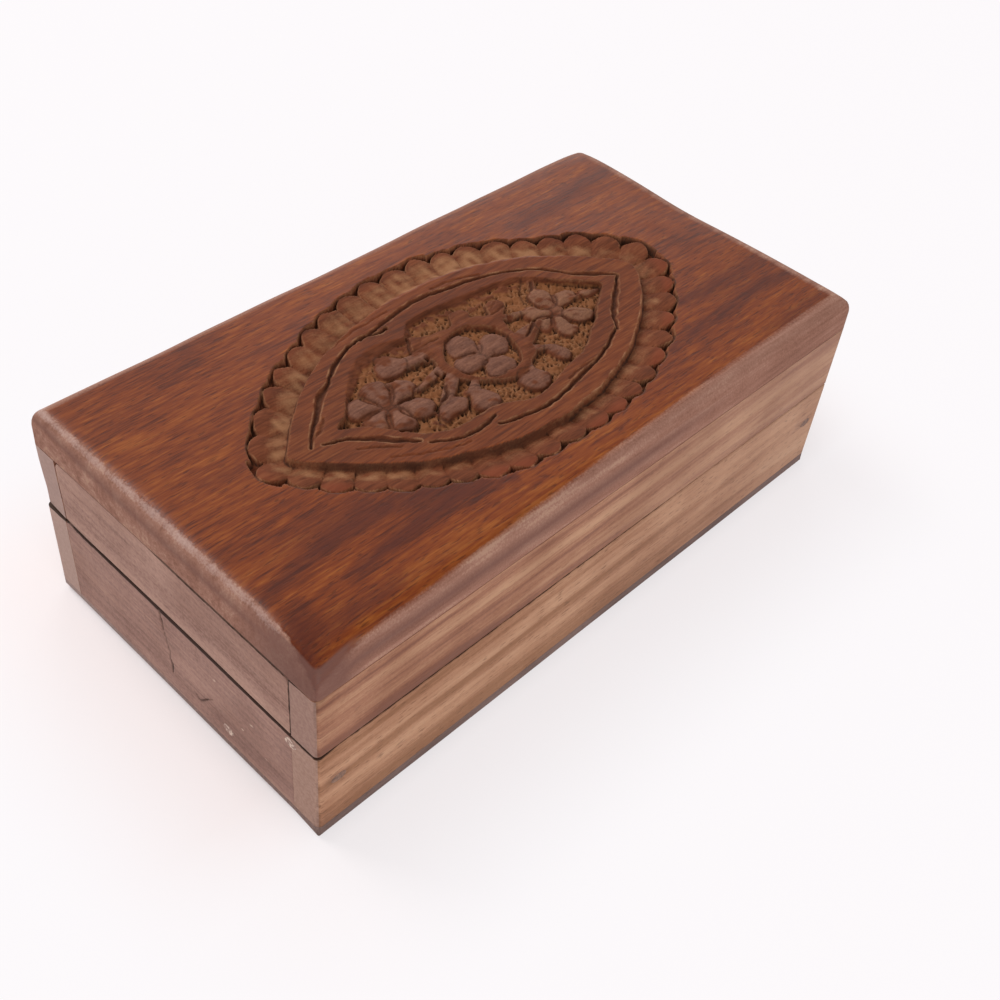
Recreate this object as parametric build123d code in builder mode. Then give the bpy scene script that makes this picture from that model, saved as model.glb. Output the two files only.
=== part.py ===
"""A hinged trinket box of solid wood with a carved lid.

Millimetres. X runs along the box, Y across it with the front at -Y and the hinges at +Y, and Z up.
The origin is the middle of the underside that the box stands on.
Every wooden piece is a flat board. The end boards stand between the long ones, the bottom board and
the lid board lie across their edges, and two butt hinges let into the rims join lid and base.
"""

from build123d import *
from math import asin, atan2, cos, degrees, dist, radians, sin
import os

# Outer sizes of the box
box_length = 203.0
box_width = 108.0
base_height = 32.5
lid_height = 32.3
seam_gap = 0.4

# Boards
wall_thickness = 9.0
bottom_thickness = 4.0
top_thickness = 11.3

# Edges, as sanded
top_edge_radius = 5.5
corner_radius = 1.5
bottom_edge_radius = 2.5
rim_ease = 0.3
joint_ease = 0.2

# The left end board of the lid has shrunk: its joints stand open and it ends short of the rim
open_joint = 0.25
short_rim = 0.4

# Butt hinges
hinge_from_end = 41.5
leaf_length = 25.0
leaf_width = 8.5
leaf_thickness = 0.8
leaf_gap = 0.1
knuckle_radius = 1.6
knuckle_count = 5
knuckle_gap = 0.15
pin_radius = 0.75
pin_clearance = 0.05
pin_overhang = 0.4
pin_ease = 0.2
back_clearance = 0.3
mortise_clearance = 0.15

# Countersunk screws of the hinges
screw_spacing = 16.0
screw_from_pin = 5.2
screw_length = 9.0
screw_radius = 1.0
screw_head_radius = 1.7
screw_slot_width = 0.45
screw_slot_depth = 0.3
screw_recess = 0.04

# Points of screws and nails, and the room that each has in its hole
point_length = 2.0
point_radius = 0.1
hole_clearance = 0.02

# Wire nails from the long walls of the base into its end boards, set below the surface and filled
nail_radius = 0.8
nail_head_radius = 1.1
nail_head_thickness = 0.8
wall_nail_length = 26.0
wall_nail_height = 20.0
wall_nail_from_end = 6.5
filler_depth = 1.5
filler_length = 4.6
filler_width = 2.8

# Wire nails up through the bottom board
bottom_nail_length = 15.0
bottom_nail_recess = 0.3
bottom_nail_from_end = 26.5

# Pale putty in two knocks on the left end of the base, one low down and one just below the rim
putty_depth = 0.8
putty_length = 4.0
putty_width = 3.2
low_putty_from_front = 34.0
low_putty_height = 9.0
rim_putty_from_front = 9.4
rim_putty_below_rim = 2.7

# Carved medallion: its middle, and the half length and half width of each pointed oval in it
medallion_x = -0.8
medallion_y = -1.0
scallop_half_length = 75.0
scallop_half_width = 42.5
scoop_half_length = 70.0
scoop_half_width = 38.0
band_half_length = 63.3
band_half_width = 31.5
groove_half_length = 56.5
groove_half_width = 26.5
field_half_length = 48.5
field_half_width = 21.8

# Depths and widths of the carving
scallops_per_side = 22
scallop_radius = 4.2
scallop_depth = 0.9
scoop_depth = 1.8
notch_radius = 2.7
notch_inset = 1.7
notch_depth = 1.9
groove_width = 0.9
groove_depth = 0.9
field_depth = 2.2
relief_height = 1.6
relief_slope = 0.5
stem_height = 0.9

# Flowers of the field: middle from the medallion's, petals, and how far out the petals stand
left_flower_x = -31.7
right_flower_x = 29.3
flower_y = -0.3
petal_count = 6
petal_radius = 3.8
petal_distance = 7.0
heart_radius = 1.6
left_flower_turn = 28.0
right_flower_turn = 18.0
rose_x = 1.3
rose_y = -0.5
rose_radius = 10.5
rose_rim = 1.3
rose_petal_count = 4
rose_petal_distance = 5.3
rose_turn = 5.0
stem_width = 1.8

# Leaves of the field: size, then the middle of each from the medallion's and the way it points
leaf_shape_length = 10.5
leaf_shape_width = 6.5
leaf_places = [
    (-22.0, 11.0, 150),
    (-7.0, 14.0, 115),
    (5.0, 15.0, 70),
    (18.0, 12.0, 25),
    (-20.0, -10.5, 205),
    (-11.5, -15.0, 250),
    (3.5, -16.5, 285),
    (17.5, -13.0, 325),
]

# Positions that follow from those sizes
half_length = box_length / 2
half_width = box_width / 2
lid_bottom = base_height + seam_gap
box_height = lid_bottom + lid_height
top_bottom = box_height - top_thickness
base_wall_height = base_height - bottom_thickness
lid_wall_height = top_bottom - lid_bottom
inner_width = box_width - 2 * wall_thickness
wall_middle = half_width - wall_thickness / 2
end_middle = half_length - wall_thickness / 2
seam_middle = base_height + seam_gap / 2
pin_y = half_width + knuckle_radius + back_clearance
leaf_front = pin_y - leaf_width
mortise_front = leaf_front - mortise_clearance
mortise_depth = leaf_thickness + leaf_gap / 2 - seam_gap / 2
segment_length = leaf_length / knuckle_count
screw_y = pin_y - screw_from_pin
screw_head_height = screw_head_radius - screw_radius
carved_face = Plane(origin=(medallion_x, medallion_y, box_height))
hinge_centre = half_length - hinge_from_end
hinge_places = {"left": -hinge_centre, "right": hinge_centre}
hanging = (Align.CENTER, Align.CENTER, Align.MAX)
standing = (Align.CENTER, Align.CENTER, Align.MIN)

os.makedirs("parts", exist_ok=True)


def write(part, name):
    """Labels a finished piece and writes its file."""
    part.label = name
    export_step(part, f"parts/{name}.step")


def leaf_face(side):
    """Height of a hinge leaf's inner face: side is 1 for the lid and -1 for the base."""
    return seam_middle + side * leaf_gap / 2


# Places of the fasteners, each a plane on the surface that it enters, facing out of it

def screw_planes(centre_x, side):
    """The screws of one hinge leaf."""
    offsets = (-screw_spacing / 2, screw_spacing / 2)
    return [Plane(origin=(centre_x + x, screw_y, leaf_face(side)), z_dir=(0, 0, -side)) for x in offsets]


def wall_nail_planes():
    """The nails of both long walls of the base."""
    x = half_length - wall_nail_from_end
    places = [(end * x, side) for side in (-1, 1) for end in (-1, 1)]
    return [
        Plane(origin=(x, side * half_width, wall_nail_height), x_dir=(1, 0, 0), z_dir=(0, side, 0))
        for x, side in places
    ]


def bottom_nail_planes():
    """The nails under the bottom board: three along each long wall and one in each end board."""
    x = half_length - bottom_nail_from_end
    places = [(i * x, side * wall_middle) for i in (-1, 0, 1) for side in (-1, 1)]
    places += [(end * end_middle, 0) for end in (-1, 1)]
    return [Plane(origin=(x, y, 0), z_dir=(0, 0, -1)) for x, y in places]


def putty_planes():
    """The two knocks on the left end of the base."""
    places = [
        (low_putty_from_front, low_putty_height),
        (rim_putty_from_front, base_height - rim_putty_below_rim),
    ]
    return [
        Plane(origin=(-half_length, from_front - half_width, z), x_dir=(0, -1, 0), z_dir=(-1, 0, 0))
        for from_front, z in places
    ]


# Fasteners and fillings, and the holes that each kind needs

def nails(planes, length, recess):
    """Wire nails whose heads lie below the surface by the recess."""
    with BuildPart() as group:
        for plane in planes:
            with Locations(plane.offset(-recess)):
                Cylinder(nail_head_radius, nail_head_thickness, align=hanging)
                Cylinder(nail_radius, length - point_length, align=hanging)
            with Locations(plane.offset(point_length - recess - length)):
                Cone(point_radius, nail_radius, point_length, align=hanging)
    return group.part


def nail_holes(planes, length, recess):
    """Room for those nails, open at the surface."""
    with BuildPart() as holes:
        with Locations(*planes):
            Cylinder(nail_head_radius + hole_clearance, recess + nail_head_thickness, align=hanging)
            Cylinder(nail_radius + hole_clearance, recess + length + hole_clearance, align=hanging)
    return holes.part


def oval_plugs(planes, length, width, depth, clearance=0.0):
    """Oval fillings flush with the surface; with a clearance, the dents that hold them."""
    with BuildPart() as plugs:
        for plane in planes:
            with BuildSketch(plane):
                Ellipse(length / 2 + clearance, width / 2 + clearance)
        extrude(amount=-depth)
    return plugs.part


wall_nail_recess = filler_depth
wall_nail_room = nail_holes(wall_nail_planes(), wall_nail_length, wall_nail_recess)
wall_dents = oval_plugs(wall_nail_planes(), filler_length, filler_width, filler_depth, hole_clearance)
bottom_nail_room = nail_holes(bottom_nail_planes(), bottom_nail_length, bottom_nail_recess)
putty_dents = oval_plugs(putty_planes(), putty_length, putty_width, putty_depth, hole_clearance)
base_holes = [wall_nail_room, wall_dents, bottom_nail_room, putty_dents]


def hinge_seats(side):
    """Mortises and screw holes for the leaves of both hinges, in the back wall of lid or base."""
    mortise_length = leaf_length + 2 * mortise_clearance
    screw_hole_depth = screw_recess + screw_length + hole_clearance
    with BuildPart() as seats:
        with BuildSketch(Plane.XY.offset(seam_middle + side * seam_gap / 2)):
            with Locations(*[(x, mortise_front) for x in hinge_places.values()]):
                Rectangle(mortise_length, half_width - mortise_front, align=(Align.CENTER, Align.MIN))
        extrude(amount=side * mortise_depth)
        for x in hinge_places.values():
            with Locations(*screw_planes(x, side)):
                Cylinder(screw_radius + hole_clearance, screw_hole_depth, align=hanging)
    return seats.part


# Boards

def long_wall(side, bottom, height, rim_side, cuts):
    """A board of the full length: side is -1 at the front, rim_side 1 where the rim is on top."""
    with BuildPart() as wall:
        with BuildSketch(Plane.XY.offset(bottom)):
            with Locations((0, side * wall_middle)):
                Rectangle(box_length, wall_thickness)
        extrude(amount=height)
        outer_face = wall.faces().sort_by(Axis.Y)[-1 if side > 0 else 0]
        fillet(outer_face.edges().filter_by(Axis.Z), corner_radius)
        rim = wall.faces().sort_by(Axis.Z)[-1 if rim_side > 0 else 0]
        chamfer(rim.edges(), rim_ease)
        for cut in cuts:
            add(cut, mode=Mode.SUBTRACT)
    return wall.part


def end_board(end, bottom, height, rim_side, side_gap, cuts):
    """A board between the long walls: end is -1 at the left, side_gap is left open at each joint."""
    with BuildPart() as board:
        with BuildSketch(Plane.XY.offset(bottom)):
            with Locations((end * end_middle, 0)):
                Rectangle(wall_thickness, inner_width - 2 * side_gap)
        extrude(amount=height)
        outer_face = board.faces().sort_by(Axis.X)[-1 if end > 0 else 0]
        chamfer(outer_face.edges().filter_by(Axis.Z), joint_ease)
        rim = board.faces().sort_by(Axis.Z)[-1 if rim_side > 0 else 0]
        chamfer(rim.edges(), rim_ease)
        for cut in cuts:
            add(cut, mode=Mode.SUBTRACT)
    return board.part


write(long_wall(-1, bottom_thickness, base_wall_height, 1, base_holes), "base_front_wall")
write(long_wall(1, bottom_thickness, base_wall_height, 1, base_holes + [hinge_seats(-1)]), "base_back_wall")
write(long_wall(-1, lid_bottom, lid_wall_height, -1, []), "lid_front_wall")
write(long_wall(1, lid_bottom, lid_wall_height, -1, [hinge_seats(1)]), "lid_back_wall")

for end, place in ((-1, "left"), (1, "right")):
    write(end_board(end, bottom_thickness, base_wall_height, 1, 0, base_holes), f"base_{place}_end")
write(
    end_board(-1, lid_bottom + short_rim, lid_wall_height - short_rim, -1, open_joint, []),
    "lid_left_end",
)
write(end_board(1, lid_bottom, lid_wall_height, -1, 0, []), "lid_right_end")

# Bottom board: covers the whole footprint, with its lower edges rounded
with BuildPart() as bottom_board:
    Box(box_length, box_width, bottom_thickness, align=(Align.CENTER, Align.CENTER, Align.MIN))
    fillet(bottom_board.edges().filter_by(Axis.Z), corner_radius)
    chamfer(bottom_board.faces().sort_by(Axis.Z)[-1].edges(), joint_ease)
with BuildPart() as rounded_underside:
    Box(box_length, box_width, box_height, align=(Align.CENTER, Align.CENTER, Align.MIN))
    fillet(rounded_underside.faces().sort_by(Axis.Z)[0].edges(), bottom_edge_radius)
with BuildPart() as base_bottom_board:
    add(bottom_board.part)
    add(rounded_underside.part, mode=Mode.INTERSECT)
    add(bottom_nail_room, mode=Mode.SUBTRACT)
write(base_bottom_board.part, "base_bottom_board")

write(nails(wall_nail_planes(), wall_nail_length, wall_nail_recess), "wall_nails")
write(oval_plugs(wall_nail_planes(), filler_length, filler_width, filler_depth), "wall_nail_fillings")
write(nails(bottom_nail_planes(), bottom_nail_length, bottom_nail_recess), "bottom_board_nails")
write(oval_plugs(putty_planes(), putty_length, putty_width, putty_depth), "left_end_putty")


# Carving on the lid board, drawn on the carved face

def pointed_oval(half_long, half_wide):
    """A face between two arcs that meet in a point at each end."""
    with BuildSketch() as oval:
        with BuildLine():
            ThreePointArc((-half_long, 0), (0, half_wide), (half_long, 0))
            ThreePointArc((half_long, 0), (0, -half_wide), (-half_long, 0))
        make_face()
    return oval.sketch


def places_around(half_long, half_wide, inward, steps, shift):
    """Locations spaced evenly along both arcs of a pointed oval, with X facing outwards."""
    radius = (half_long**2 + half_wide**2) / (2 * half_wide)
    half_angle = degrees(asin(half_long / radius))
    places = []
    for i in range(steps):
        angle = 90 + half_angle - 2 * half_angle * (i + shift) / steps
        x = (radius - inward) * cos(radians(angle))
        y = (radius - inward) * sin(radians(angle)) - radius + half_wide
        places += [Location((x, y, 0), (0, 0, angle)), Location((-x, -y, 0), (0, 0, angle + 180))]
    return places


def relief_leaf(x, y, angle):
    """A pointed leaf that stands on the floor of the field and narrows to its top."""
    half_long = leaf_shape_length / 2
    half_wide = leaf_shape_width / 2
    floor = Plane(carved_face.location * Location((x, y, -field_depth), (0, 0, angle)))
    with BuildPart() as leaf:
        with BuildSketch(floor):
            add(pointed_oval(half_long, half_wide))
        with BuildSketch(floor.offset(relief_height)):
            add(pointed_oval(half_long - 2 * relief_slope, half_wide - relief_slope))
        loft()
    return leaf.part


def relief_flower(x, y, count, distance, turn):
    """A ring of round petals about a small heart."""
    with BuildPart() as flower:
        with Locations(carved_face.location * Location((x, y, -field_depth))):
            Cone(heart_radius + relief_slope, heart_radius, relief_height, align=standing)
            with PolarLocations(distance, count, start_angle=turn):
                Cone(petal_radius, petal_radius - relief_slope, relief_height, align=standing)
    return flower.part


# Border: petals slope down from their round outer ends to the foot of the raised band
with BuildPart() as border:
    with BuildSketch(carved_face):
        add(pointed_oval(scoop_half_length, scoop_half_width))
    with BuildSketch(carved_face.offset(-scoop_depth)):
        add(pointed_oval(band_half_length, band_half_width))
    loft()
    with BuildSketch(carved_face):
        add(pointed_oval(scoop_half_length, scoop_half_width))
        with Locations(
            *places_around(scallop_half_length, scallop_half_width, scallop_radius, scallops_per_side, 0)
        ):
            Circle(scallop_radius)
    extrude(amount=-scallop_depth)
    with BuildSketch(carved_face):
        with Locations(
            *places_around(scallop_half_length, scallop_half_width, notch_inset, scallops_per_side, 0.5)
        ):
            RegularPolygon(notch_radius, 3)
    extrude(amount=-notch_depth)
    with BuildSketch(carved_face):
        add(pointed_oval(band_half_length, band_half_width))
    extrude(amount=-scoop_depth, mode=Mode.SUBTRACT)

# Groove along the band, and the sunk field inside it
with BuildPart() as groove_and_field:
    with BuildSketch(carved_face):
        add(pointed_oval(groove_half_length, groove_half_width))
        inner_edge = (groove_half_length - 2 * groove_width, groove_half_width - groove_width)
        add(pointed_oval(*inner_edge), mode=Mode.SUBTRACT)
    extrude(amount=-groove_depth)
    with BuildSketch(carved_face):
        add(pointed_oval(field_half_length, field_half_width))
    extrude(amount=-field_depth)

# Sprays: stems run from under the rose to each leaf and flower
stem_ends = [(x, y) for x, y, angle in leaf_places]
stem_ends += [(left_flower_x, flower_y), (right_flower_x, flower_y)]
with BuildPart() as sprays:
    for x, y, angle in leaf_places:
        add(relief_leaf(x, y, angle))
    with BuildSketch(carved_face.offset(-field_depth)):
        for x, y in stem_ends:
            angle = degrees(atan2(y - rose_y, x - rose_x))
            with Locations(((x + rose_x) / 2, (y + rose_y) / 2)):
                Rectangle(dist((x, y), (rose_x, rose_y)), stem_width, rotation=angle)
        with Locations((rose_x, rose_y)):
            Circle(rose_radius)
    extrude(amount=stem_height)
    with BuildSketch(carved_face.offset(-field_depth)):
        with Locations((rose_x, rose_y)):
            Circle(rose_radius)
            Circle(rose_radius - rose_rim, mode=Mode.SUBTRACT)
    extrude(amount=relief_height)

# Lid board: its upper edges well rounded, then the carving
with BuildPart() as lid_top_board:
    Box(box_length, box_width, box_height, align=(Align.CENTER, Align.CENTER, Align.MIN))
    fillet(lid_top_board.faces().sort_by(Axis.Z)[-1].edges(), top_edge_radius)
    with BuildSketch(Plane.XY.offset(top_bottom)):
        RectangleRounded(box_length, box_width, corner_radius)
    extrude(amount=top_thickness, mode=Mode.INTERSECT)
    add(border.part, mode=Mode.SUBTRACT)
    add(groove_and_field.part, mode=Mode.SUBTRACT)
    add(sprays.part)
    add(relief_flower(rose_x, rose_y, rose_petal_count, rose_petal_distance, rose_turn))
    add(relief_flower(left_flower_x, flower_y, petal_count, petal_distance, left_flower_turn))
    add(relief_flower(right_flower_x, flower_y, petal_count, petal_distance, right_flower_turn))
write(lid_top_board.part, "lid_top_board")


# Hinges: the base has the outer and the middle knuckles, the lid has the others

def hinge_leaf(centre_x, side):
    """A leaf with its screw holes and knuckles: side is 1 for the lid's and -1 for the base's."""
    start = centre_x - leaf_length / 2
    first = 1 if side > 0 else 0
    middles = [start + (i + 0.5) * segment_length for i in range(first, knuckle_count, 2)]
    knuckle_length = segment_length - knuckle_gap
    tongue_end = pin_y - (knuckle_radius + pin_radius) / 2
    with BuildPart() as leaf:
        with BuildSketch(Plane.XY.offset(leaf_face(side))):
            with Locations((centre_x, leaf_front)):
                Rectangle(leaf_length, half_width - leaf_front, align=(Align.CENTER, Align.MIN))
            with Locations(*[(x, half_width) for x in middles]):
                Rectangle(knuckle_length, tongue_end - half_width, align=(Align.CENTER, Align.MIN))
        extrude(amount=side * leaf_thickness)
        for x in middles:
            with BuildSketch(Plane(origin=(x, pin_y, seam_middle), z_dir=(1, 0, 0))):
                Circle(knuckle_radius)
            extrude(amount=knuckle_length / 2, both=True)
        with BuildSketch(Plane(origin=(centre_x, pin_y, seam_middle), z_dir=(1, 0, 0))):
            Circle(pin_radius + pin_clearance)
        extrude(amount=leaf_length / 2, both=True, mode=Mode.SUBTRACT)
        with Locations(*screw_planes(centre_x, side)):
            CounterSinkHole(
                screw_radius + hole_clearance,
                screw_head_radius + screw_recess + hole_clearance,
                counter_sink_angle=90,
            )
    return leaf.part


def hinge_pin(centre_x):
    """The pin, with its ends eased."""
    with BuildPart() as pin:
        with BuildSketch(Plane(origin=(centre_x, pin_y, seam_middle), z_dir=(1, 0, 0))):
            Circle(pin_radius)
        extrude(amount=leaf_length / 2 + pin_overhang, both=True)
        chamfer(pin.edges().filter_by(GeomType.CIRCLE), pin_ease)
    return pin.part


def hinge_screws(centre_x, side):
    """The two countersunk screws of one leaf, each with a slot along the box."""
    with BuildPart() as screws:
        for plane in screw_planes(centre_x, side):
            with Locations(plane.offset(-screw_recess)):
                Cone(screw_radius, screw_head_radius, screw_head_height, align=hanging)
                Cylinder(screw_radius, screw_length - point_length, align=hanging)
                slot = (2 * screw_head_radius, screw_slot_width, screw_slot_depth)
                Box(*slot, align=hanging, mode=Mode.SUBTRACT)
            with Locations(plane.offset(point_length - screw_recess - screw_length)):
                Cone(point_radius, screw_radius, point_length, align=hanging)
    return screws.part


for place, centre_x in hinge_places.items():
    write(hinge_leaf(centre_x, 1), f"{place}_hinge_lid_leaf")
    write(hinge_leaf(centre_x, -1), f"{place}_hinge_base_leaf")
    write(hinge_pin(centre_x), f"{place}_hinge_pin")
    write(hinge_screws(centre_x, 1), f"{place}_hinge_lid_screws")
    write(hinge_screws(centre_x, -1), f"{place}_hinge_base_screws")
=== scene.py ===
# %% [markdown]
# A carved wooden trinket box
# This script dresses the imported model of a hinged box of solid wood. The model gives the boards, the
# hinges and the fasteners in their places. What is added here is what a maker's hands added: carving,
# sanding, oil, dust, dents and shrinkage. Lengths are written in millimetres and turned to metres once.

# %% Load the model that everything is fitted to
from functools import partial
from math import cos, pi, radians, sin

import bmesh
import bpy
import numpy as np
from mathutils import Matrix, Vector, geometry


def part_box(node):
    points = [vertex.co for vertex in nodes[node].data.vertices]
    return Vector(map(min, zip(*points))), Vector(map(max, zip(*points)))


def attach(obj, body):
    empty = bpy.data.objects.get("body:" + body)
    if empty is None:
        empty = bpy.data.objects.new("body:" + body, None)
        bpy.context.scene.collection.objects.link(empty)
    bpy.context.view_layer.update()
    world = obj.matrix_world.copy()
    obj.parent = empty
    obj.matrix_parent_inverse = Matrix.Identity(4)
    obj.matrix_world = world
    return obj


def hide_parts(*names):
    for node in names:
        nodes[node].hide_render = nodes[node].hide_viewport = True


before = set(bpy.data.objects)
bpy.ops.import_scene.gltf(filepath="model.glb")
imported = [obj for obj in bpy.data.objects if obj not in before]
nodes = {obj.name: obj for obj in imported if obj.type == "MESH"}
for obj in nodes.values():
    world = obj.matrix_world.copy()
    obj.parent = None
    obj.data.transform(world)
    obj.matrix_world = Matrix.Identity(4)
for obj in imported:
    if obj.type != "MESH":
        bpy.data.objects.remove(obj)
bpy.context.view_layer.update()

# the closed box in millimetres: it stands on z = 0, with its middle over x = 0 and y = 0
half_length = 101.5
half_width = 54.0
box_height = 65.2
top_bottom = 53.9
wall_thickness = 9.0
rim_height = 32.7

# %% [markdown]
# Small helpers
# A shader wants linear colour, while a paint chart or a screen gives sRGB, so one function turns the
# one into the other. Another adds any node to any tree: its options, its fixed inputs and its links all
# go through the same call, and a link is simply another node, or one of its sockets, given as an input.

# %% Millimetres, colours and one way to add a node
MM = 0.001
TO_MM = 1000.0


def linear(hex_colour):
    """An sRGB colour such as '#a37961' as linear red, green, blue and alpha."""
    parts = [int(hex_colour[i:i + 2], 16) / 255 for i in (1, 3, 5)]
    return tuple(p / 12.92 if p <= 0.04045 else ((p + 0.055) / 1.055) ** 2.4 for p in parts) + (1.0,)


def add_node(tree, kind, inputs=(), stops=(), **options):
    """Adds a node. Inputs go in the order in which it shows them, or by name: each is a value, a hex
    colour, a socket, a node (its first output counts), or None, which leaves the input as it is."""
    node = tree.nodes.new(kind)
    for name, value in options.items():
        setattr(node, name, value)
    if not isinstance(inputs, dict):
        inputs = dict(zip([i for i, socket in enumerate(node.inputs) if socket.enabled], inputs))
    for key, value in inputs.items():
        if isinstance(value, bpy.types.Node):
            value = next(socket for socket in value.outputs if socket.enabled)
        if isinstance(value, bpy.types.NodeSocket):
            tree.links.new(value, node.inputs[key])
        elif value is not None:
            is_colour = isinstance(value, str) and value.startswith("#")
            node.inputs[key].default_value = linear(value) if is_colour else value
    for i, (place, colour) in enumerate(stops):
        ramp = node.color_ramp.elements
        stop = ramp[i] if i < 2 else ramp.new(place)
        stop.position = place
        stop.color = linear(colour) if isinstance(colour, str) else (colour, colour, colour, 1.0)
    return node


def add_object(name, data):
    """A new object in the scene for a mesh, a lamp or a camera."""
    thing = bpy.data.objects.new(name, data)
    bpy.context.scene.collection.objects.link(thing)
    return thing


# %% [markdown]
# Sums as rows
# Most nodes of a pattern only do arithmetic. Written one call each they fill pages, so they are written
# as rows, as in a recipe: the name of the result, what is done, and what it is done with. The words in
# capitals are Blender's own names of operations, apart from the ones in the list below.

# %% Rows of arithmetic
row_kinds = {
    "RANGE": ("ShaderNodeMapRange", {}),
    "SMOOTH RANGE": ("ShaderNodeMapRange", {"interpolation_type": "SMOOTHSTEP"}),
    "MIX": ("ShaderNodeMix", {}),
    "COLOUR": ("ShaderNodeMix", {"data_type": "RGBA"}),
    "DARKEN": ("ShaderNodeMix", {"data_type": "RGBA", "blend_type": "MULTIPLY"}),
}


def work_out(node, values, rows):
    """Adds the nodes of rows: a name for the result, an operation, and inputs, by name or as values."""
    for name, operation, *inputs in rows:
        inputs = [values.get(i, i) if isinstance(i, str) else i for i in inputs]
        if operation == "WEIGH":
            # a sum: each second input is the weight of the one before it
            result = 0.0
            for value, weight in zip(inputs[::2], inputs[1::2]):
                result = node("ShaderNodeMath", [value, weight, result], operation="MULTIPLY_ADD")
        elif operation == "RAMP":
            result = node("ShaderNodeValToRGB", inputs[:1], inputs[1:])
        elif operation in row_kinds:
            kind, options = row_kinds[operation]
            result = node(kind, inputs, **options)
        elif operation.startswith("VECTOR "):
            result = node("ShaderNodeVectorMath", inputs, operation=operation.split()[1])
        else:
            result = node("ShaderNodeMath", inputs, operation=operation)
        values[name] = result
    return result


def new_material(name):
    """A material with an empty tree, and the call that adds nodes to it."""
    material = bpy.data.materials.new(name)
    material.use_nodes = True
    material.node_tree.nodes.clear()
    return material, partial(add_node, material.node_tree)


def finish_material(node, values, strength, depth, shader):
    """Ends a material in fine relief, one shader and the output; depth is in millimetres."""
    bump = node("ShaderNodeBump", {"Height": values["height"], "Strength": strength, "Distance": depth * MM})
    shader = node("ShaderNodeBsdfPrincipled", {"Base Color": values["surface"], "Normal": bump, **shader})
    node("ShaderNodeOutputMaterial", [shader])


# %% [markdown]
# Camera
# The box is seen from above its left front corner with a slightly tilted camera. Its place and turn
# were worked out from the corners of the box, which are known points.

# %% Camera
camera_azimuth = -0.8820759
camera_elevation = 0.7826351
camera_roll = 0.1188126
camera_place = Vector((-207.983, -185.253, 286.065)) * MM

backwards = Vector((
    sin(camera_azimuth) * cos(camera_elevation),
    -cos(camera_azimuth) * cos(camera_elevation),
    sin(camera_elevation),
))
level_right = Vector((cos(camera_azimuth), sin(camera_azimuth), 0))
level_up = backwards.cross(level_right)
right = level_right * cos(camera_roll) + level_up * sin(camera_roll)
up = level_up * cos(camera_roll) - level_right * sin(camera_roll)
camera = add_object("camera", bpy.data.cameras.new("camera"))
camera.matrix_world = Matrix.Translation(camera_place) @ Matrix((right, up, backwards)).transposed().to_4x4()
camera.data.sensor_width = 36.0
camera.data.lens = 47.8
camera.data.clip_start = 0.01
bpy.context.scene.camera = camera
bpy.context.scene.view_settings.view_transform = "Standard"
print("camera", round(camera_place.length, 3), "metres from the middle of the box")

# %% [markdown]
# Light and floor
# The box stands on white paper in an even light: a wide soft lamp overhead, and a pale room around it.
# Together they light a level surface so that a colour looks as it is written. The paper is slightly
# warm beside the box and fades to white further off. That fade is only for the eye of the camera,
# through Light Path, so the paper keeps the shadow and throws no extra light. Reflections see the pale
# room too, so brass looks like brass, and one low window behind the box adds to the sheen of the oil.

# %% Lamps and world
room_light = 0.52
white_backdrop = 0.975


def seen_directly(node):
    """1 for the camera's rays and for reflections and refractions, 0 for light that falls on things."""
    rays = dict(node("ShaderNodeLightPath").outputs.items())
    return work_out(node, rays, [("seen", "MAXIMUM", "Is Camera Ray", "Is Glossy Ray"),
                                 ("seen", "MAXIMUM", "seen", "Is Transmission Ray")])


world = bpy.data.worlds.new("pale room")
bpy.context.scene.world = world
world.use_nodes = True
world.node_tree.nodes.clear()
node = partial(add_node, world.node_tree)
strength = node("ShaderNodeMapRange", [seen_directly(node), 0.0, 1.0, room_light, white_backdrop])
node("ShaderNodeOutputWorld", [node("ShaderNodeBackground", ["#fefdff", strength])])

# each lamp is a square: its place, what it faces, its size and its power
middle_of_box = (0, 0, 0.03)
for name, place, target, size, power in (
        ("window behind and left", (-0.25, 0.85, 0.95), middle_of_box, 0.55, 10.3),
        ("soft fill from the camera side", (-0.35, -1.05, 0.42), middle_of_box, 0.9, 5.8),
        ("low window behind", (0.92, 1.01, 0.69), (0, 0, 0.06), 0.75, 2.8)):
    lamp = add_object(name, bpy.data.lights.new(name, "AREA"))
    lamp.data.shape = "SQUARE"
    lamp.data.size = size
    lamp.data.energy = power
    lamp.location = place
    lamp.rotation_euler = (Vector(target) - Vector(place)).to_track_quat("-Z", "Y").to_euler()
    print(name, power, "watts")

# %% Floor
floor_reach = 1.5
half_box = (half_length * MM, half_width * MM, 0.0)
paper_mesh = bpy.data.meshes.new("white paper")
floor_corners = [(x * floor_reach, y * floor_reach, 0) for x, y in ((-1, -1), (1, -1), (1, 1), (-1, 1))]
paper_mesh.from_pydata(floor_corners, [], [(0, 1, 2, 3)])
floor = add_object("white paper", paper_mesh)

# paper: an even matt white, a little warm in the shade of the box
paper, node = new_material("white paper")
place = node("ShaderNodeTexCoord").outputs["Object"]
level = node("ShaderNodeSeparateXYZ", [place]).outputs["Y"]
share = work_out(node, {"place": place, "y": level, "seen": seen_directly(node)}, [
    ("away", "VECTOR ABSOLUTE", "place"),
    ("away", "VECTOR SUBTRACT", "away", half_box),
    ("away", "VECTOR MAXIMUM", "away", (0.0, 0.0, 0.0)),
    ("away", "VECTOR LENGTH", "away"),
    ("nearest", "RANGE", "y", -0.035, -0.058, 0.32, 0.74),
    ("fade", "SMOOTH RANGE", "away", 0.0, 0.058, "nearest", 0.97),
    ("share", "MULTIPLY", "seen", "fade")])
matt = node("ShaderNodeBsdfDiffuse", ["#f2e7e5"])
glow = node("ShaderNodeEmission", ["#fdfafc", 1.0])
node("ShaderNodeOutputMaterial", [node("ShaderNodeMixShader", [share, matt, glow])])
paper_mesh.materials.append(paper)
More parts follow.
